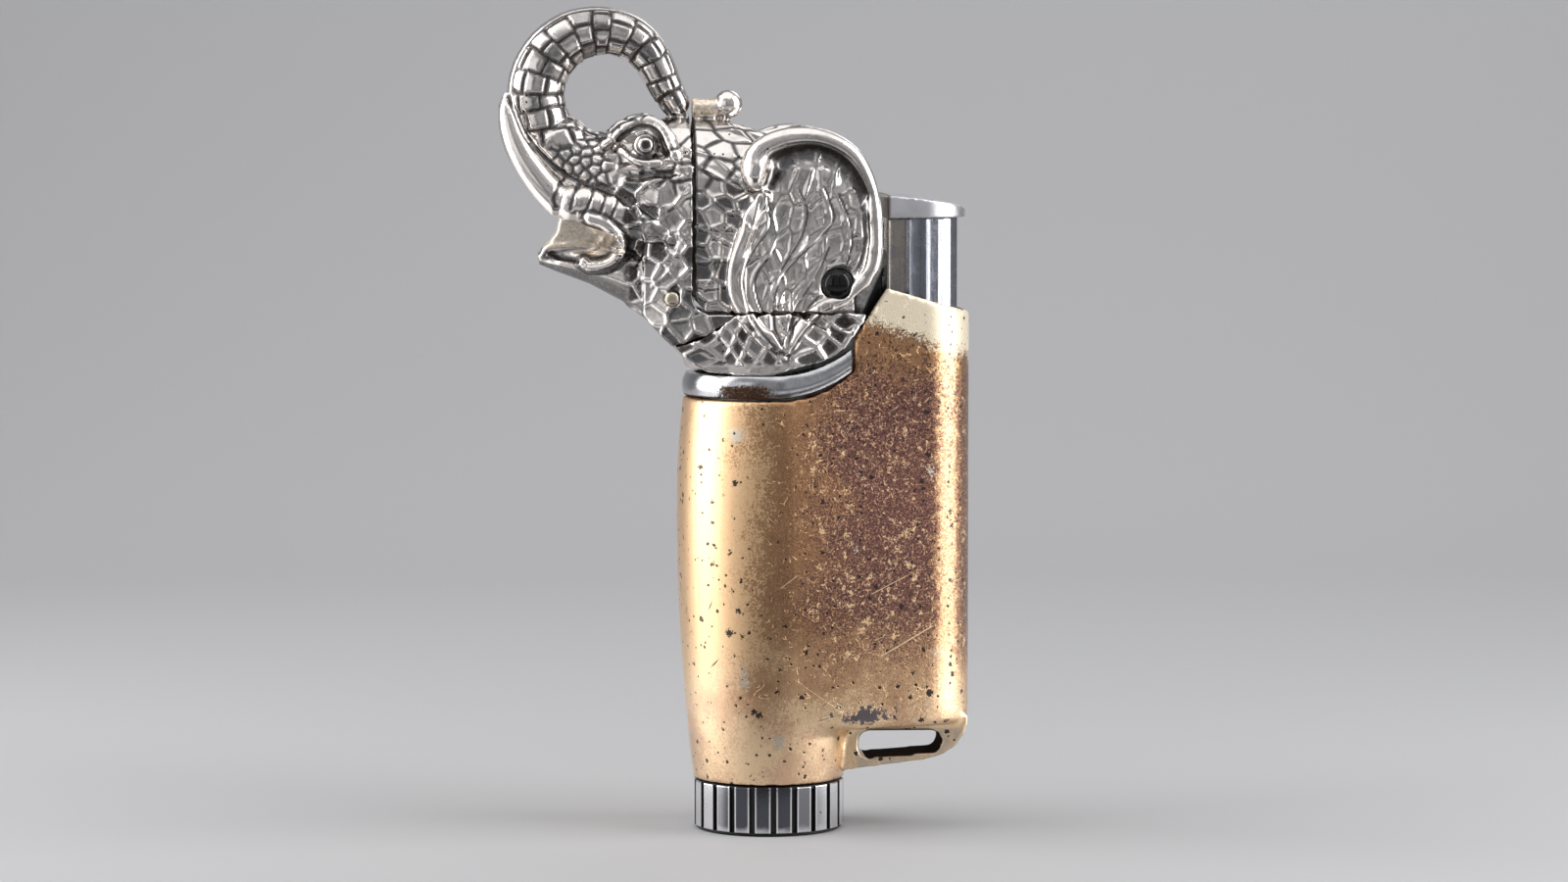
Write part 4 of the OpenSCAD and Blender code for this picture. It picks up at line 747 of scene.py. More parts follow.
on_knob = falls(np.hypot(x + 6.6, z - 92.2), 3, 3.4) * falls(abs(y), 1.9, 2.2) * rise_to(z, 90.4, 90.8)
skin = outward(cap) * (1 - on_roll) * (1 - on_ear) * (1 - on_knob)
crown = rise_to(z - 0.5 * x, 84.5, 86.5)
scales(cap, skin * crown, 1.9, 12, stretch=(1.5, 1), turned=-25, groove=0.13, tip=0.05)
# Painted shade in the hollows of the cap's lower cells.
scales(cap, skin * (1 - crown), 1.85, 11, stretch=(1.35, 1), turned=-35, wall=0.2, tip=0.035, shade=1.4)
on_bar = rise_to(x, -10.5, -10) * rise_to(-x, 5.9, 7.2) * rise_to(z, 90.6, 91) * falls(abs(y), 2.2, 2.6)
cap.stain = 0.8 * on_bar
cap.darken(0.3 * on_bar)
# Painted shade along the cap's front and bottom edges, at its seam.
front, bottom = cap.co[cap.co[:, 2] < 88, 0].min(), cap.co[:, 2].min()
cap.darken(falls(cap.co[:, 0], front + 0.15, front + 0.3))
cap.darken(falls(cap.co[:, 2], bottom + 0.15, bottom + 0.3))
pin_x, pin_z = 8.1, 69.9
from_pin = np.hypot(x - pin_x, z - pin_z)
clear = np.maximum(rise_to(from_pin, 2, 2.8), falls(abs(y), 7.6, 8))
for layer in (cap.up, cap.down, cap.fold):
    layer *= clear
cap.settle()
cap.soften(8, falls(from_pin, 2.2, 2.7) * (abs(y) > 8), 0.5)
cap.soften(1)
cap_piece = cap.finish("cap", chrome_skin)
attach(cap_piece, "cap")
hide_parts("cap_shell")


# The neck carries the head on the body. Crossed lines divide its skin into diamonds, and the ear's point
# runs out on it. The diamonds' faces are painted darker by how each one tips: painted shade.
neck = Form("neck", 0.22, 0.4)
neck.soften(8)
neck.start()
neck.cord(ear_cord)
x, y, z = neck.co.T
out_from = np.hypot(x, y)
low = (1 - rise_to(z, 58.9, 61.4)) * rise_to(-x, -3, 1) * (out_from > 7.7)
spread = 1 + low * (np.maximum(out_from, 9.45) / np.maximum(out_from, 1) - 1)
neck.co *= np.stack([spread, spread, np.ones(neck.count)], 1)
neck.co[:, 2] = np.maximum(neck.co[:, 2] - 0.35 * low, 58.5)
neck.start()
for vein in ([(-3.4, 66), (-2.7, 64.5), (-1, 62.6), (1.2, 60.9)], [(-0.6, 66), (-0.4, 64), (0.8, 61.8)],
             [(1.9, 66), (1.7, 64.5), (1.4, 62)], [(5.4, 66), (3.6, 64.4), (2.2, 62.4), (1.3, 61)]):
    neck.line(vein, 0.34, 0.32, shine=0.8)
    neck.line([(a + 0.6, b) for a, b in vein], 0.2, -0.16)
x, y, z = neck.co.T
turned = np.degrees(np.arctan2(y, x + 1)) * 0.17
turned += 0.45 * np.sin(z * 0.75 + turned * 0.5) + 0.3 * np.sin(turned * 1.1 + 2)
cell = 1.55
up_line, down_line = turned * 0.62 + z * 0.5, turned * 0.62 - z * 0.5
first, second = up_line % cell, down_line % cell
edge = np.minimum(np.minimum(first, cell - first), np.minimum(second, cell - second))
on_neck = outward(neck, 64) * rise_to(z, 59.6, 60.4) * rise_to(np.hypot(x, y), 7.4, 8)
on_neck *= 1 - rise_to(abs(y), 9, 9.3) * rise_to(z - 60.5 - 1.05 * abs(x - 1.2), -0.1, 0.4)
mark = bell(edge, 0.19) * on_neck
neck.up += 0.2 * mark
lean = np.sin(np.floor(up_line / cell) * 12.9 + np.floor(down_line / cell) * 78.2)
neck.up += np.clip(0.14 * lean * (first - 0.78) + 0.04, 0, 0.15) * on_neck
# Painted shade: the diamonds' faces darker, by how each one tips.
neck.darken((0.58 + 0.32 * lean) * rise_to(edge, 0.15, 0.4) * on_neck)
neck.settle()
neck.soften(1)
neck_piece = neck.finish("neck_skin", chrome_skin)
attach(neck_piece, "root")
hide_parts("neck")


# The body is a zinc casting under gold lacquer, which years in a hand have browned along the flank and worn
# through to specks, chips and scratches. Shade, light and a highlight are also painted into its colour: its
# inside and the inner walls of the loop's slot are near black as painted shade, the gold and the brown are
# lighter towards the bottom as painted light, and the browning and plum thin out where the right lamp's
# highlight falls, as a painted highlight.
belly_z, belly_r, foot_r, throat_r, throat_z = 41, 11.7, 9.6, 10.9, 55.4
rear_x, rear_r, wall, foot_z, floor_z = 18.6, 7, 1.2, 6.6, 13.7


def front_radius(z):
    """The radius of the body's front at a height."""
    low = belly_r - (belly_r - foot_r) * ((belly_z - z) / (belly_z - foot_z)) ** 2
    high = np.maximum(10, belly_r - (belly_r - throat_r) * ((z - belly_z) / (throat_z - belly_z)) ** 2)
    return np.where(z < belly_z, low, high)


def off_plan(co, height=None, round_only=False):
    """How far points stand out of the body's plan, at their own or a given height, and the way out."""
    x, y, z = co.T
    if height:
        z = np.full(len(co), height)
    radius = front_radius(z)
    across = abs(y)
    slope = (radius - rear_r) / rear_x
    flat = np.sqrt(1 - slope ** 2)
    at = flat * x - slope * across
    front = np.hypot(x, across)
    rear = np.hypot(x - rear_x, across)
    off = np.where(at < 0, front - radius, np.where(at > flat * rear_x, rear - rear_r, flat * across
                                                    + slope * x - radius))
    out_x = np.where(at < 0, x / front, np.where(at > flat * rear_x, (x - rear_x) / rear, slope))
    out_y = np.where(at < 0, across / front, np.where(at > flat * rear_x, across / rear, flat))
    if round_only:
        off, out_x, out_y = front - radius, x / front, across / front
    return off, np.stack([out_x, out_y * np.sign(y), 0 * z], 1)


shell = Form("body_shell", 0.37, 0.6)
shell.soften(3)
x, y, z = shell.co.T
shoulder = falls(abs(z - floor_z), 1.1, 1.9) * falls(x, 8.6, 10.6) * (np.hypot(x, y) > foot_r - 0.2)
shell.soften(26, shoulder, 0.5)
shell.start()
for depth in (0, -wall):
    off, out = off_plan(shell.co)
    facing = (shell.normal * out).sum(1) * (1 if depth == 0 else -1)
    true = (abs(off - depth) < 0.35) & (facing > 0.93) & (shell.co[:, 2] > floor_z + 1.6)
    shell.co[true] -= ((off - depth)[:, None] * out)[true]
off, out = off_plan(shell.co, round_only=True)
up_plan = rise_to(shell.co[:, 2], floor_z - 1.4, floor_z + 1.6)
off = off * (1 - up_plan) + off_plan(shell.co)[0] * up_plan
near = (shell.co[:, 2] < floor_z + 1.7) & (falls(shell.co[:, 0], 7, 9) > 0.5)
true = (abs(off) < 0.9) & ((shell.normal * out).sum(1) > 0.5) & (near | (shell.co[:, 2] < floor_z - 1.4))
shell.co[true] -= (off[:, None] * out)[true]

lacquer, shader, place = new_material("gold_lacquer")
axis = add("SeparateXYZ", {0: place}).outputs
px, py, pz = axis["X"], axis["Y"], axis["Z"]
broad = noise(place, 0.11, 5, 0.6)
mottle = noise(place, 0.8, 6, 0.7)
grain = noise(place, 5.0, 4, 0.7)
wander = plus(plus(-12.5, mottle, 9.0), broad, 16.0)
mid_x = calc("ADD", px, wander)
mid_z = calc("ADD", pz, wander)
rear_edge = plus(px, mottle, 5.0)
sand = noise(place, 3.4, 3, 0.75)
grit = fade(sand, 0.41, 0.59)
handled = times(fade(mid_x, -7.0, 2.5), fade(mid_z, 11.0, 22.0))
held = times(fade(mid_x, -1.0, 13.0), fade(mid_z, 64.0, 54.0), fade(mid_z, 15.0, 30.0))
# Painted highlight: browning and plum thin out in the upright band that the right lamp lights, and return
# at the rear edge.
lit_edge = calc("ADD", fade(rear_edge, 22.3, 24.3, 1.0, 0.25), fade(rear_edge, 25.5, 26.8, 0.0, 0.55))
held = times(held, lit_edge)
handled = times(handled, fade(lit_edge, 0.0, 1.0, 0.35, 1.0))
brown = plus(handled, calc("SUBTRACT", grit, 0.5), 0.7)
brown = fade(most(brown, times(fade(broad, 0.5, 0.75), grit)), 0.2, 0.85)
plum = plus(held, calc("SUBTRACT", fade(grain, 0.38, 0.62), 0.5), 0.9)
plum = times(fade(plum, 0.25, 0.95), 0.92)
gold = tint(fade(grain, 0.35, 0.65), (0.74, 0.475, 0.25), (0.84, 0.57, 0.33))
rubbed_with_painted_light = tint(grit, (0.185, 0.082, 0.036), (0.45, 0.24, 0.115))
# Painted light: the brown is lighter towards the bottom, and a little lighter at the top.
rubbed_with_painted_light = tint(fade(mid_z, 29.0, 17.0, 0.0, 0.8), rubbed_with_painted_light, (0.68, 0.42, 0.24))
rubbed_with_painted_light = tint(fade(mid_z, 55.0, 62.0, 0.0, 0.08), rubbed_with_painted_light, (0.60, 0.36, 0.20))
rosy = times(fade(plus(broad, grit, 0.1), 0.48, 0.64), fade(pz, 26.0, 17.0))
# Painted light: the gold is lighter towards the bottom.
gold = tint(fade(pz, 28.0, 13.0, 0.0, 0.7), gold, (1.0, 0.76, 0.49))
gold = tint(times(rosy, 0.55), gold, (0.60, 0.34, 0.22))
tarnish = tint(grit, (0.060, 0.020, 0.026), (0.15, 0.060, 0.057))
colour = tint(plum, tint(brown, gold, rubbed_with_painted_light), tarnish)
pepper = times(speck(place, 0.42, 0.27, 0.75, 0.8), fade(mid_z, 42.0, 52.0), fade(mid_x, 1.0, 9.0))
colour = tint(times(pepper, 0.7), colour, (0.04, 0.018, 0.013))
dust = speck(place, 0.6, 0.17, 0.6, 0.4)
colour = tint(times(dust, fade(brown, 0.2, 0.6, 0.1, 0.5)), colour, (0.55, 0.34, 0.17))
flakes = most(speck(place, 1.5, 0.5, 0.62, 2.6), speck(place, 0.8, 0.27, 0.6, 1.4))
flakes = times(flakes, fade(plus(held, mottle, 0.8), 0.5, 0.95), fade(plus(pz, grit, 14.0), 63.0, 52.0))
bent = add("TexNoise", {"Vector": place, "Scale": 0.35, "Detail": 1}).outputs["Color"]
bent = vector("SCALE", bent, 5.0)
bent = vector("ADD", place, bent)
hairs = add("TexVoronoi", {"Vector": bent, "Scale": 0.45}, feature="DISTANCE_TO_EDGE").outputs["Distance"]
hairs = times(fade(hairs, 0.03, 0.012), fade(mottle, 0.55, 0.61), fade(handled, 0.3, 0.8))
flakes = most(flakes, times(hairs, 0.8))
curls = add("TexVoronoi", {"Vector": bent, "Scale": 0.95}, feature="DISTANCE_TO_EDGE").outputs["Distance"]
curls = times(fade(curls, 0.055, 0.025), fade(sand, 0.53, 0.58), fade(held, 0.35, 0.8))
flakes = most(flakes, times(curls, 0.6))
colour = tint(times(flakes, 0.85), colour, (0.80, 0.56, 0.30))
cream_edge = calc("ADD", plus(pz, mottle, 4.0), times(px, 0.36))
cream = fade(plus(cream_edge, grit, 1.4), 72.0, 72.9)
cream = times(cream, fade(px, 9.5, 10.5))
colour = tint(cream, colour, tint(grain, (0.68, 0.575, 0.42), (0.76, 0.675, 0.52)))
bracket = times(fade(px, 10.7, 11.3), fade(pz, 13.4, 12.4), fade(mottle, 0.35, 0.6, 0.25, 0.8))
colour = tint(bracket, colour, (0.56, 0.48, 0.39))
pale_chips = speck(place, 5.0, 0.95, 0.25, 3.0)
colour = tint(times(pale_chips, fade(mottle, 0.35, 0.55)), colour, (0.60, 0.55, 0.45))
black = most(speck(place, 1.7, 0.4, 0.7, 0.9), speck(place, 0.9, 0.23, 0.6, 0.4),
             speck(place, 3.1, 0.6, 0.45, 1.0))
colour = tint(times(black, 0.96), colour, (0.018, 0.012, 0.01))


def scratch(place, first, second, width):
    """A straight scratch between two places on the near flank."""
    axis = add("SeparateXYZ", {0: place}).outputs
    flat = add("CombineXYZ", {"X": axis["X"], "Z": axis["Z"]}).outputs[0]
    middle = [(a + b) / 2 for a, b in zip(first, second)]
    span = [b - a for a, b in zip(first, second)]
    size = math.hypot(*span)
    from_middle = vector("SUBTRACT", flat, (middle[0], 0, middle[1]))
    along = vector("DOT_PRODUCT", from_middle, (span[0] / size, 0, span[1] / size))
    across = vector("DOT_PRODUCT", from_middle, (-span[1] / size, 0, span[0] / size))
    inside = fade(calc("ABSOLUTE", along), size / 2, size / 2 - 0.8)
    thin = fade(calc("ABSOLUTE", across), width, width * 0.4)
    return times(inside, thin, fade(axis["Y"], 0.5, -0.5))


scored = scratch(place, (13.4, 22.6), (20.8, 26.6), 0.1)
for first, second, width in (((12.2, 30.6), (17.6, 33.2), 0.05), ((0.4, 31.6), (3.2, 33.6), 0.06)):
    scored = most(scored, scratch(place, first, second, width))
colour = tint(scored, colour, (0.83, 0.63, 0.38))
nicks = scratch(place, (-7.9, 21.3), (-6.7, 22.8), 0.12)
for first, second, width in (((-8.2, 28.5), (-7.6, 30.2), 0.09), ((-1.9, 12.1), (-1.3, 11.4), 0.14),
                             ((2.4, 20.4), (9.3, 15.4), 0.045), ((5.2, 14.6), (9, 15.6), 0.05),
                             ((15.2, 15), (15.9, 14.7), 0.22), ((16.8, 14.9), (17.4, 14.8), 0.2),
                             ((8.4, 17.1), (8.9, 16.8), 0.18), ((18.6, 14.8), (19.1, 15.1), 0.16)):
    nicks = most(nicks, scratch(place, first, second, width))
colour = tint(nicks, colour, (0.05, 0.035, 0.03))
flat = vector("SUBTRACT", place, (11.5, 0, 15.2))
flat = vector("MULTIPLY", flat, (0.35, 0, 1.0))
flat = vector("LENGTH", flat)
crumbs = times(speck(place, 0.7, 0.3, 0.8, 0.8), fade(flat, 2.3, 1.5))
bare = plus(plus(flat, grit, 0.5), mottle, 3.0)
bare = most(fade(bare, 2.75, 2.6), crumbs)
bare = times(bare, fade(py, 0.5, -0.5))
colour = tint(bare, colour, (0.16, 0.135, 0.14))
# Painted shade: the body's inside and the slot's inner walls are near black, without metal or coat.
inside = fade(painted(shader, "fold"), 0.3, 0.7)
colour = tint(inside, colour, (0.02, 0.012, 0.009))
marked = most(black, nicks, most(cream, plum))
metal = times(fade(marked, 0.1, 1.0, 0.96, 0.8), calc("SUBTRACT", 1.0, inside),
              fade(most(flakes, cream), 0, 1, 1, 0.55))
gloss = plus(plus(0.25, marked, 0.04), grain, 0.16)
height = calc("SUBTRACT", times(grain, 0.9), most(black, bare, most(flakes, most(nicks, scored))))
fill(shader, {"Base Color": colour, "Metallic": metal, "Specular IOR Level": fade(inside, 0, 1, 0.5, 0.05),
              "Coat Weight": fade(inside, 0, 1, 0.45, 0), "Coat Roughness": 0.22,
              "Roughness": most(gloss, inside), "Normal": bump(height, 0.4)})

off = off_plan(shell.co)[0]
x, y, z = shell.co.T
# Painted shade marks: the inner wall, and the slot's lower and rear walls.
in_slot = (z < floor_z
           - 0.5) & (x > 12.2) & (abs(y) < 3.95) & ((shell.normal[:, 2] > 0.1)
                                                    | (shell.normal[:, 0] < -0.3))
shell.fold = np.maximum((off < -0.5) & (z > floor_z + 0.6), in_slot * falls(abs(y), 3.4, 3.8))
body_piece = shell.finish("body", lacquer)
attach(body_piece, "root")
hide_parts("body_shell")


# The collar is a polished, chromed strap round the top of the body, open to the rear where the tower rises.
# Brown grime has settled in its front. Its inward faces, its lower edge and its ends are painted dark in
# the same mix: painted shade.
strap_z, strap_ends = 55.55, 10.05
collar = Form("collar", 0.16, 0.3)
collar.soften(6)
collar.start()
off, out = off_plan(collar.co, throat_z)
height = collar.co[:, 2] - strap_z - 3.3 * (np.clip(collar.co[:, 0], 0, 99) / strap_ends) ** 2.2
facing = (collar.normal * out).sum(1)
bead = 0.12 - 0.4 * ((height - 1.25) / 1.5) ** 2
true = rise_to(facing, 0.1, 0.5) * (off > -0.9)
collar.co += ((bead - off) * true)[:, None] * out
collar.start()
collar.fold = 0.9 * np.exp(-((collar.co[:, 0] + 3.5) / 4.2) ** 4) * falls(height, 1.2,
                                                                          2.7) * (collar.co[:, 1] < 0)
# Painted shade: the inward faces, the lower edge and the ends.
collar.darken(0.6 * rise_to(-facing, -0.3, 0.2))
collar.darken(falls(height, 0.1, 0.4))
collar.darken(rise_to(collar.co[:, 0], strap_ends - 0.35, strap_ends - 0.1))

trim, shader, place = new_material("polished_trim")
fold = painted(shader, "fold")
cloud = noise(place, 0.5, 5, 0.65)
fine = noise(place, 3.2, 6, 0.7)
crumbs = noise(place, 7.0, 3, 0.7)
darkening = plus(plus(fold, crumbs, 1.2), fine, 1.2)
darkening = fade(darkening, 1.72, 1.95)
pits = speck(place, 1.4, 0.12, 0.35, 0.1)
darkening = most(darkening, pits)
steel = tint(fade(cloud, 0.35, 0.75), (0.56, 0.56, 0.57), (0.38, 0.38, 0.40))
# The colour of the grime and of the painted shade.
dirt_and_shade = tint(fade(crumbs, 0.62, 0.44), (0.11, 0.05, 0.02), (0.008, 0.006, 0.005))
fill(shader, {"Base Color": tint(darkening, steel, dirt_and_shade), "Metallic": fade(darkening, 0.2, 1, 1, 0.1),
              "Specular IOR Level": fade(darkening, 0.2, 1, 0.5, 0.1),
              "Roughness": plus(fade(cloud, 0.3, 0.8, 0.12, 0.22), darkening, 0.4),
              "Normal": bump(calc("SUBTRACT", fine, darkening), 0.12)})
collar_piece = collar.finish("collar_strap", trim)
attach(collar_piece, "root")
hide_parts("collar")


# The button's stem is drawn steel, chromed to a cool grey: a flat strip at the front and shallow hollow
# flutes that run round to the rear. Its front face carries the full brown tint as a painted shadow in the
# gap behind the ear.
tower_z, stem_inset = 69.35, 1.4
stem = Form("button_stem", 0.2, 0.4)
stem.soften(3)
stem.start()
off, out = off_plan(stem.co, tower_z)
facing = (stem.normal * out).sum(1)
x, y, z = stem.co.T
angle = np.degrees(np.arctan2(x - rear_x, abs(y)))
around = np.where(x < 20, x, 20 + (angle - 12) * math.pi / 180 * 5.6)
strip_end, flute_w, flute_d = 17.35, 2.15, 0.14
flute = np.abs(np.sin((around - strip_end) / flute_w * math.pi)) ** 0.8
strip_d = 0.3 - 0.1 * rise_to(abs(around - 16), 0.9, 1.3)
target = -stem_inset - np.where(around < strip_end, strip_d, flute_d * flute)
true = rise_to(facing, 0.6, 0.85) * (abs(off + stem_inset) < 0.55) * (x > 14.7)
stem.co += ((target - off) * true)[:, None] * out
stem.start()
stem.fold = true * np.where(around < strip_end, 0.72, 0.75 * bell(flute, 0.3))
# Painted shadow on the stem's front face.
stem.darken(1 - rise_to(stem.co[:, 0], 14.75, 15.05))

satin, shader, place = new_material("cool_satin_chrome")
fold = painted(shader, "fold")
drawn = vector("MULTIPLY", place, (6.0, 6.0, 0.25))
drawn = noise(drawn, 1.0, 3, 0.6)
cloud = noise(place, 0.6, 5, 0.65)
# The brown tint: a stain on the strip and the flutes, and on the front face a painted shadow.
stain = fade(plus(fold, cloud, 0.7), 0.7, 1.25)
steel = tint(cloud, (0.31, 0.32, 0.36), (0.22, 0.23, 0.27))
steel = tint(stain, steel, (0.33, 0.295, 0.26))
marks = speck(place, 2.3, 0.13, 0.35, 0.3)
fill(shader, {"Base Color": tint(marks, steel, (0.1, 0.08, 0.07)), "Metallic": 1,
              "Roughness": plus(fade(cloud, 0.3, 0.8, 0.12, 0.26), drawn, 0.16),
              "Normal": bump(drawn, 0.12)})
stem_piece = stem.finish("button_tube", satin)
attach(stem_piece, "button")
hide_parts("button_stem")


# The thumb plate is a thick plate with a satin top, rounded along its rim. Its underside and its front edge
# are painted darker: painted shade.
plate = Form("button_plate", 0.18, 0.4)
plate.soften(10)
plate.start()
off, out = off_plan(plate.co, tower_z)
facing = (plate.normal * out).sum(1)
true = rise_to(facing, 0.75, 0.9) * (abs(off + 0.5) < 0.4) * (plate.co[:, 0] > 15)
plate.co += ((-0.5 - off) * true)[:, None] * out
plate.start()
# Painted shade: the underside and the front edge are darker.
plate.fold = 0.5 * rise_to(-plate.normal[:, 2], 0.1, 0.6)
front = plate.co[:, 0].min()
plate.darken(1.2 * (1 - rise_to(plate.co[:, 0], front + 0.25, front + 0.5)))

brushed, shader, place = new_material("bright_satin")
cloud = noise(place, 0.5, 5, 0.65)
sand = noise(place, 12.0, 4, 0.8)
fold = painted(shader, "fold")
marks = speck(place, 2.0, 0.16, 0.3, 0.4)
# Painted shade from the underside and front edge, with small marks.
marked = most(times(fold, 0.8), marks)
steel = tint(cloud, (0.56, 0.56, 0.58), (0.44, 0.44, 0.46))
fill(shader, {"Base Color": tint(marked, steel, (0.14, 0.11, 0.09)), "Metallic": 1,
              "Roughness": fade(plus(cloud, sand, 0.4), 0.4, 1.0, 0.28, 0.44),
              "Normal": bump(sand, 0.2, 0.00005)})
plate_piece = plate.finish("thumb_plate", brushed)
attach(plate_piece, "button")
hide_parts("button_plate")


# The adjusting wheel wears a chromed sleeve whose flat ribs stand between black grooves. It is turned from
# tube, milled, and pressed on the core. The ribs that face the front are painted dark as a painted
# reflection, less so near the bottom, some ribs darker at random, and the rib edges stay bright as painted
# highlights.
ribs, wheel_r, wheel_h, groove_d, groove_w = 22, 9.6, 6.35, 0.55, 0.62
sleeve_in, flange_h = wheel_r - 1.1, 0.42
sleeve = bmesh.new()
bmesh.ops.create_circle(sleeve, segments=ribs * 4, radius=wheel_r)
sleeve.verts.ensure_lookup_table()
half_rib = math.pi / ribs - groove_w / 2 / wheel_r
for i, v in enumerate(sleeve.verts):
    middle = 2 * math.pi * (i // 4) / ribs
    swing = half_rib * (-1 if i % 4 < 2 else 1)
    radius = wheel_r if i % 4 in (1, 2) else wheel_r - groove_d
    v.co = Vector((math.cos(middle + swing) * radius, math.sin(middle + swing) * radius, flange_h + 0.02))
outer = list(sleeve.edges)
inner = bmesh.ops.create_circle(sleeve, segments=ribs * 4, radius=sleeve_in)["verts"]
for v in inner:
    v.co.z = flange_h + 0.02
inner = [e for e in sleeve.edges if e not in outer]
ring = bmesh.ops.bridge_loops(sleeve, edges=outer + inner)["faces"]
top = bmesh.ops.extrude_face_region(sleeve, geom=ring)["geom"]
bmesh.ops.translate(sleeve, verts=[v for v in top if isinstance(v, bmesh.types.BMVert)],
                    vec=(0, 0, wheel_h - flange_h - 0.1))
bmesh.ops.recalc_face_normals(sleeve, faces=sleeve.faces)
crest = [e for e in sleeve.edges if all(v.co.xy.length > wheel_r - 0.1 for v in e.verts)]
bmesh.ops.bevel(sleeve, geom=crest, offset=0.16, segments=3, profile=0.5, affect="EDGES", material=-1)
bmesh.ops.scale(sleeve, verts=sleeve.verts, vec=(0.001, 0.001, 0.001))

ribbed, shader, place = new_material("ribbed_chrome")
axis = add("SeparateXYZ", {0: place}).outputs
radius = calc("SQRT", calc("ADD", times(axis["X"], axis["X"]), times(axis["Y"], axis["Y"])))
cloud = noise(place, 0.5, 5, 0.65)
fine = noise(place, 3.0, 6, 0.7)
groove = fade(radius, wheel_r - 0.12, wheel_r - 0.3)
darkening = most(groove, fade(fine, 0.62, 0.72, 0, 0.7), speck(place, 1.2, 0.14, 0.4, 0.4))
steel = tint(cloud, (0.97, 0.96, 0.98), (0.88, 0.88, 0.91))
# Painted reflection: ribs facing the front are dark, with random tone per rib and bright edges as painted
# highlights.
angle = calc("ARCTAN2", axis["X"], times(axis["Y"], -1.0))
turned = times(calc("SUBTRACT", angle, math.pi / 2), ribs / 2 / math.pi)
rib = calc("ROUND", turned)
chance = add("TexWhiteNoise", {"W": rib}, noise_dimensions="1D").outputs["Value"]
rib_reflection_and_tone = most(fade(calc("ABSOLUTE", angle), 0.95, 0.6), fade(chance, 0.5, 0.9, 0, 0.6))
rib_reflection_and_tone = times(rib_reflection_and_tone, fade(chance, 0.0, 0.5, 0.55, 0.95))
beside = calc("ABSOLUTE", calc("SUBTRACT", turned, rib))
rib_reflection_and_tone = times(rib_reflection_and_tone, fade(beside, 0.27, 0.32, 1.0, 0.1))
darkening = most(darkening, fade(beside, 0.35, 0.365))
low_end = fade(plus(axis["Z"], cloud, 1.6), 1.3, 2.2, 0.35, 1.0)
rib_reflection_and_tone = times(rib_reflection_and_tone, low_end)
steel = tint(rib_reflection_and_tone, steel, (0.055, 0.06, 0.075))
fill(shader, {"Base Color": tint(darkening, steel, (0.012, 0.011, 0.011)),
              "Metallic": fade(darkening, 0.3, 1, 1, 0.2),
              "Roughness": plus(fade(cloud, 0.3, 0.8, 0.05, 0.14), darkening, 0.4), "Normal": bump(fine, 0.1)})
sleeve_piece = new_piece("ribbed_sleeve", sleeve, ribbed, smooth=False)
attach(sleeve_piece, "adjuster")
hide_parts("adjuster_sleeve")


# The hinge pin is a black steel rivet with a domed, polished head at each
# ear. The jaw pin is a small pale rivet through the corner of the jaw.
def rivet(name, node, x, z, profile, material):
    """A pin across the head, spun from half of its outline: places along Y and radii."""
    turned = bmesh.new()
    made = [turned.verts.new((x, y, z + r)) for y, r in profile]
    made += [turned.verts.new((x, -y, z + r)) for y, r in profile[::-1]]
    for a, b in zip(made[:-1], made[1:]):
        turned.edges.new((a, b))
    bmesh.ops.spin(turned, geom=turned.verts[:] + turned.edges[:], cent=(x, 0, z), axis=(0, 1, 0),
                   angle=2 * math.pi, steps=48, use_merge=True)
    bmesh.ops.remove_doubles(turned, verts=turned.verts, dist=1e-4)
    bmesh.ops.recalc_face_normals(turned, faces=turned.faces)
    bmesh.ops.scale(turned, verts=turned.verts, vec=(0.001, 0.001, 0.001))
    piece = new_piece(name, turned, material)
    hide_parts(node)
    return piece


pin_black, shader, place = new_material("black_rivet")
fine = noise(place, 2.0, 5, 0.7)
dust = times(fade(fine, 0.6, 0.75), 0.1)
fill(shader, {"Base Color": tint(dust, (0.004, 0.004, 0.0045), (0.2, 0.18, 0.16)),
              "Roughness": fade(fine, 0.4, 0.8, 0.06, 0.22), "Metallic": 0.0, "Specular IOR Level": 0.3})
pin_piece = rivet("hinge_rivet", "hinge_pin", pin_x, pin_z,
                  ((10.28, 0), (10.26, 0.4), (10.18, 0.85), (10.02, 1.3), (9.84, 1.6), (9.62, 1.76),
                   (9.3, 1.78), (9.15, 1.74), (9.15, 1.5), (4, 1.5)), pin_black)
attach(pin_piece, "cap")

pin_pale, shader, place = new_material("pale_rivet")
fine = noise(place, 1.6, 6, 0.7)
stain = fade(fine, 0.45, 0.7)
fill(shader, {"Base Color": tint(stain, (0.62, 0.56, 0.46), (0.30, 0.23, 0.15)),
              "Roughness": fade(fine, 0.3, 0.8, 0.24, 0.45), "Metallic": 1, "Normal": bump(fine, 0.15)})
jaw_piece = rivet("jaw_rivet", "jaw_pin", -12.6, 68.1, ((8.5, 0), (8.47, 0.4), (8.38, 0.7), (8.25, 0.88),
                                                        (8.1, 0.95), (7, 0.95), (4, 0.95)), pin_pale)
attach(jaw_piece, "root")


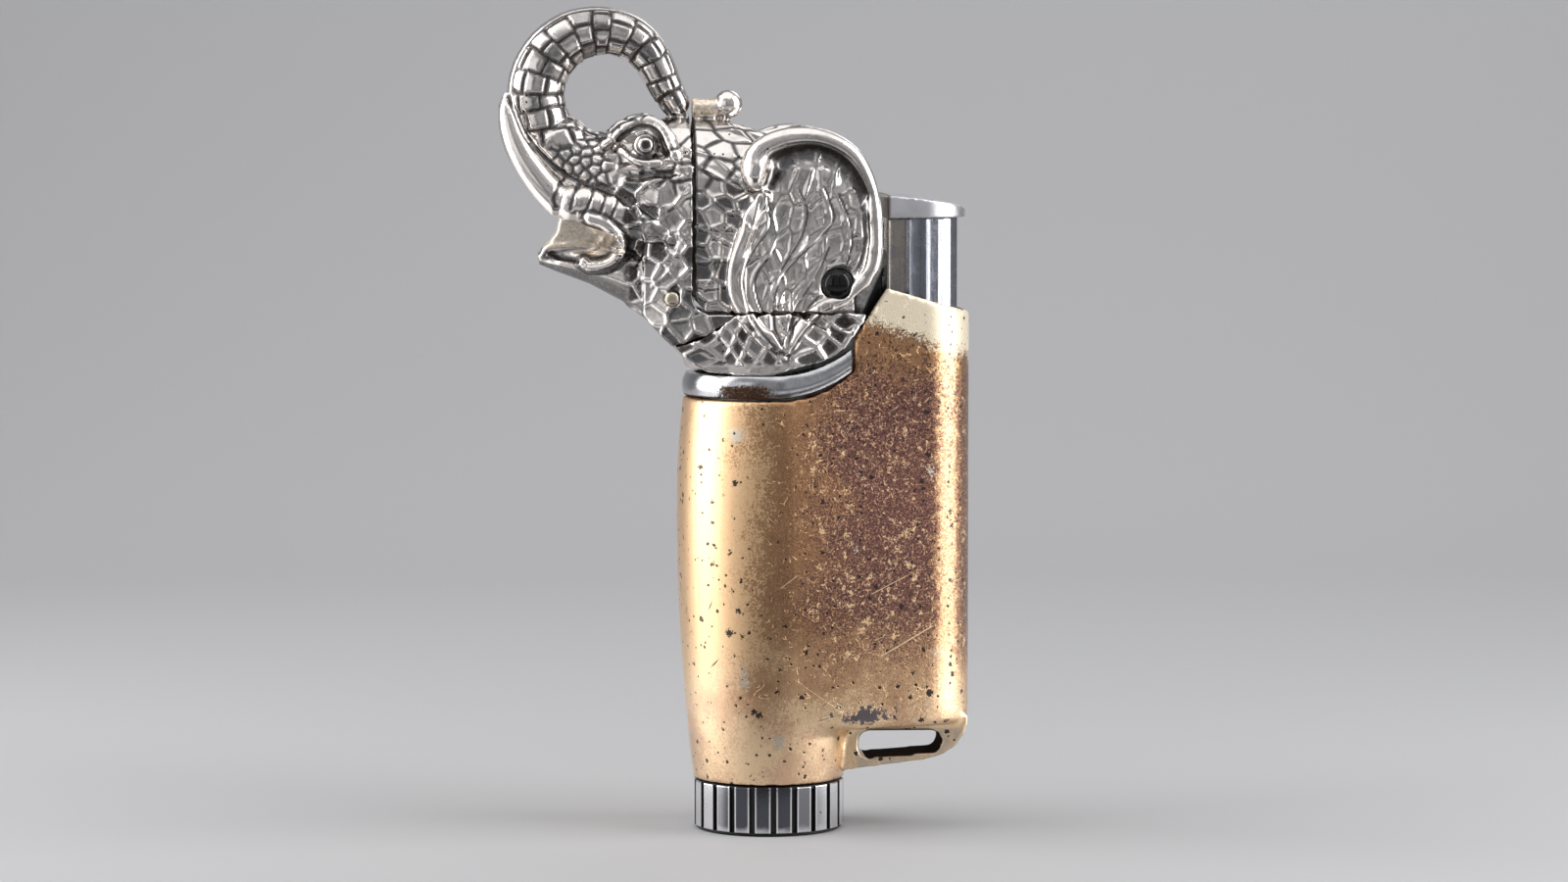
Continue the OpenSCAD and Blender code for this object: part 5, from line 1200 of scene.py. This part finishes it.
# The springs are wound from round steel wire: one returns the button, one
# holds the gas valve shut and one holds the filling valve shut.
def inner_metal(name, colour, dark, rough, stripe=(1, 1, 1), metallic=1.0):
    """A plain metal for the works: slight clouds, fine marks and a little oil-brown."""
    material, shader, place = new_material(name)
    spread = vector("MULTIPLY", place, stripe)
    cloud = noise(spread, 0.9, 5, 0.65)
    fine = noise(spread, 6.0, 4, 0.7)
    marks = speck(place, 1.6, 0.12, 0.3, 0.3)
    shade = tint(fade(cloud, 0.35, 0.75), colour, dark)
    dim = tuple(c * 0.3 for c in dark)
    fill(shader, {"Base Color": tint(times(marks, 0.8), shade, dim),
                  "Roughness": fade(plus(cloud, fine, 0.5), 0.4, 1.1, rough, rough + 0.2),
                  "Metallic": metallic, "Normal": bump(fine, 0.12)})
    return material


spring_steel = inner_metal("spring_steel", (0.62, 0.62, 0.63), (0.42, 0.41, 0.40), 0.18)


def wound_spring(name, node, wire, turns):
    """Winds a spring into the box of its solid."""
    low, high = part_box(node)
    middle = (low + high) / 2
    radius = (high.x - low.x) / 2 - wire
    pitch = (high.z - low.z - 2 * wire) / turns
    coil = bmesh.new()
    bmesh.ops.create_circle(coil, segments=12, radius=wire)
    bmesh.ops.rotate(coil, verts=coil.verts, cent=(0, 0, 0), matrix=Matrix.Rotation(math.pi / 2, 3, "X"))
    bmesh.ops.translate(coil, verts=coil.verts, vec=(middle.x + radius, middle.y, low.z + wire))
    start = bmesh.ops.contextual_create(coil, geom=coil.edges[:])["faces"]
    bmesh.ops.spin(coil, geom=start, cent=middle, axis=(0, 0, 1), dvec=(0, 0, pitch / 32),
                   angle=2 * math.pi * turns, steps=int(32 * turns), use_merge=False)
    bmesh.ops.recalc_face_normals(coil, faces=coil.faces)
    piece = new_piece(name, coil, spring_steel)
    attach(piece, "root")
    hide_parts(node)
    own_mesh(piece)


wound_spring("button_spring", "return_spring", 0.0003, 6)
wound_spring("nozzle_spring", "valve_spring", 0.00022, 5)
wound_spring("filler_spring", "fill_valve_spring", 0.0002, 6)


# A steel cheek stands on each side of the chassis behind the hinge pin, in the gap before the tower. Its
# rear edge is painted black: a painted shadow in that gap.
cheek_steel, shader, place = new_material("cheek_steel")
axis = add("SeparateXYZ", {0: place}).outputs
cloud = noise(place, 0.8, 5, 0.65)
# Painted shadow: the rear edge is black.
behind = fade(plus(axis["X"], axis["Z"], -0.45), -18.4, -18.0)
steel = tint(fade(cloud, 0.35, 0.7), (0.62, 0.61, 0.60), (0.34, 0.33, 0.33))
fill(shader, {"Base Color": tint(behind, steel, (0.012, 0.011, 0.011)),
              "Metallic": fade(behind, 0, 1, 1, 0.2), "Roughness": fade(cloud, 0.3, 0.8, 0.22, 0.38)})
cheek_x, cheek_y, cheek_z, cheek_size = 12.45, 4.4, 68.6, (3.4, 0.7, 6.2)
for name, across in (("near_cheek", -cheek_y), ("far_cheek", cheek_y)):
    cheek = bmesh.new()
    bmesh.ops.create_cube(cheek, size=1)
    bmesh.ops.scale(cheek, verts=cheek.verts, vec=cheek_size)
    bmesh.ops.translate(cheek, verts=cheek.verts, vec=(cheek_x, across, cheek_z))
    bmesh.ops.bevel(cheek, geom=cheek.edges, offset=0.15, segments=2, profile=0.5, affect="EDGES",
                    material=-1)
    bmesh.ops.scale(cheek, verts=cheek.verts, vec=(0.001, 0.001, 0.001))
    cheek_piece = new_piece(name, cheek, cheek_steel)
    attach(cheek_piece, "root")


# The works inside are kept as their solids: pressed steel chassis and levers,
# turned brass valves, the moulded tank, and the piezo unit with its wire.
def finish_nodes(material, *names):
    """Gives solids of the works their real finish."""
    for name in names:
        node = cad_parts[name]
        for part in node.material_slots:
            part.link = "OBJECT"
            part.material = material


finish_nodes(inner_metal("turned_brass", (0.72, 0.52, 0.25), (0.52, 0.35, 0.16), 0.22), "wheel_bush",
             "regulator_sleeve", "fill_valve_body", "outlet_valve", "valve_nozzle", "burner_tube",
             "gas_riser")
finish_nodes(inner_metal("pressed_steel", (0.58, 0.58, 0.59), (0.40, 0.39, 0.38), 0.24, (0.3, 2, 2)),
             "chassis", "gas_lever", "cap_lever", "wheel_clip")
finish_nodes(inner_metal("heated_steel", (0.50, 0.45, 0.40), (0.24, 0.20, 0.24), 0.28, (2, 2, 0.4)),
             "wind_shield", "burner_deck")
finish_nodes(inner_metal("bright_steel", (0.68, 0.68, 0.69), (0.5, 0.5, 0.5), 0.16), "chassis_screws",
             "cap_screws", "gas_lever_pin", "fill_valve_stem", "electrode")
finish_nodes(inner_metal("black_core", (0.02, 0.02, 0.021), (0.008, 0.008, 0.008), 0.28, metallic=0.5),
             "adjuster_core")
finish_nodes(inner_metal("seal_rubber", (0.03, 0.03, 0.03), (0.015, 0.015, 0.015), 0.6, metallic=0.0),
             "regulator_seal", "fill_valve_seal", "tank_seal")
finish_nodes(inner_metal("tank_moulding", (0.62, 0.63, 0.60), (0.50, 0.51, 0.48), 0.35, metallic=0.0),
             "fuel_tank", "tank_lid")
finish_nodes(inner_metal("white_moulding", (0.78, 0.77, 0.73), (0.66, 0.65, 0.6), 0.4, metallic=0.0),
             "piezo_housing", "piezo_plunger")
finish_nodes(inner_metal("wire_sleeve", (0.04, 0.04, 0.042), (0.02, 0.02, 0.02), 0.45, metallic=0.0),
             "electrode_wire")
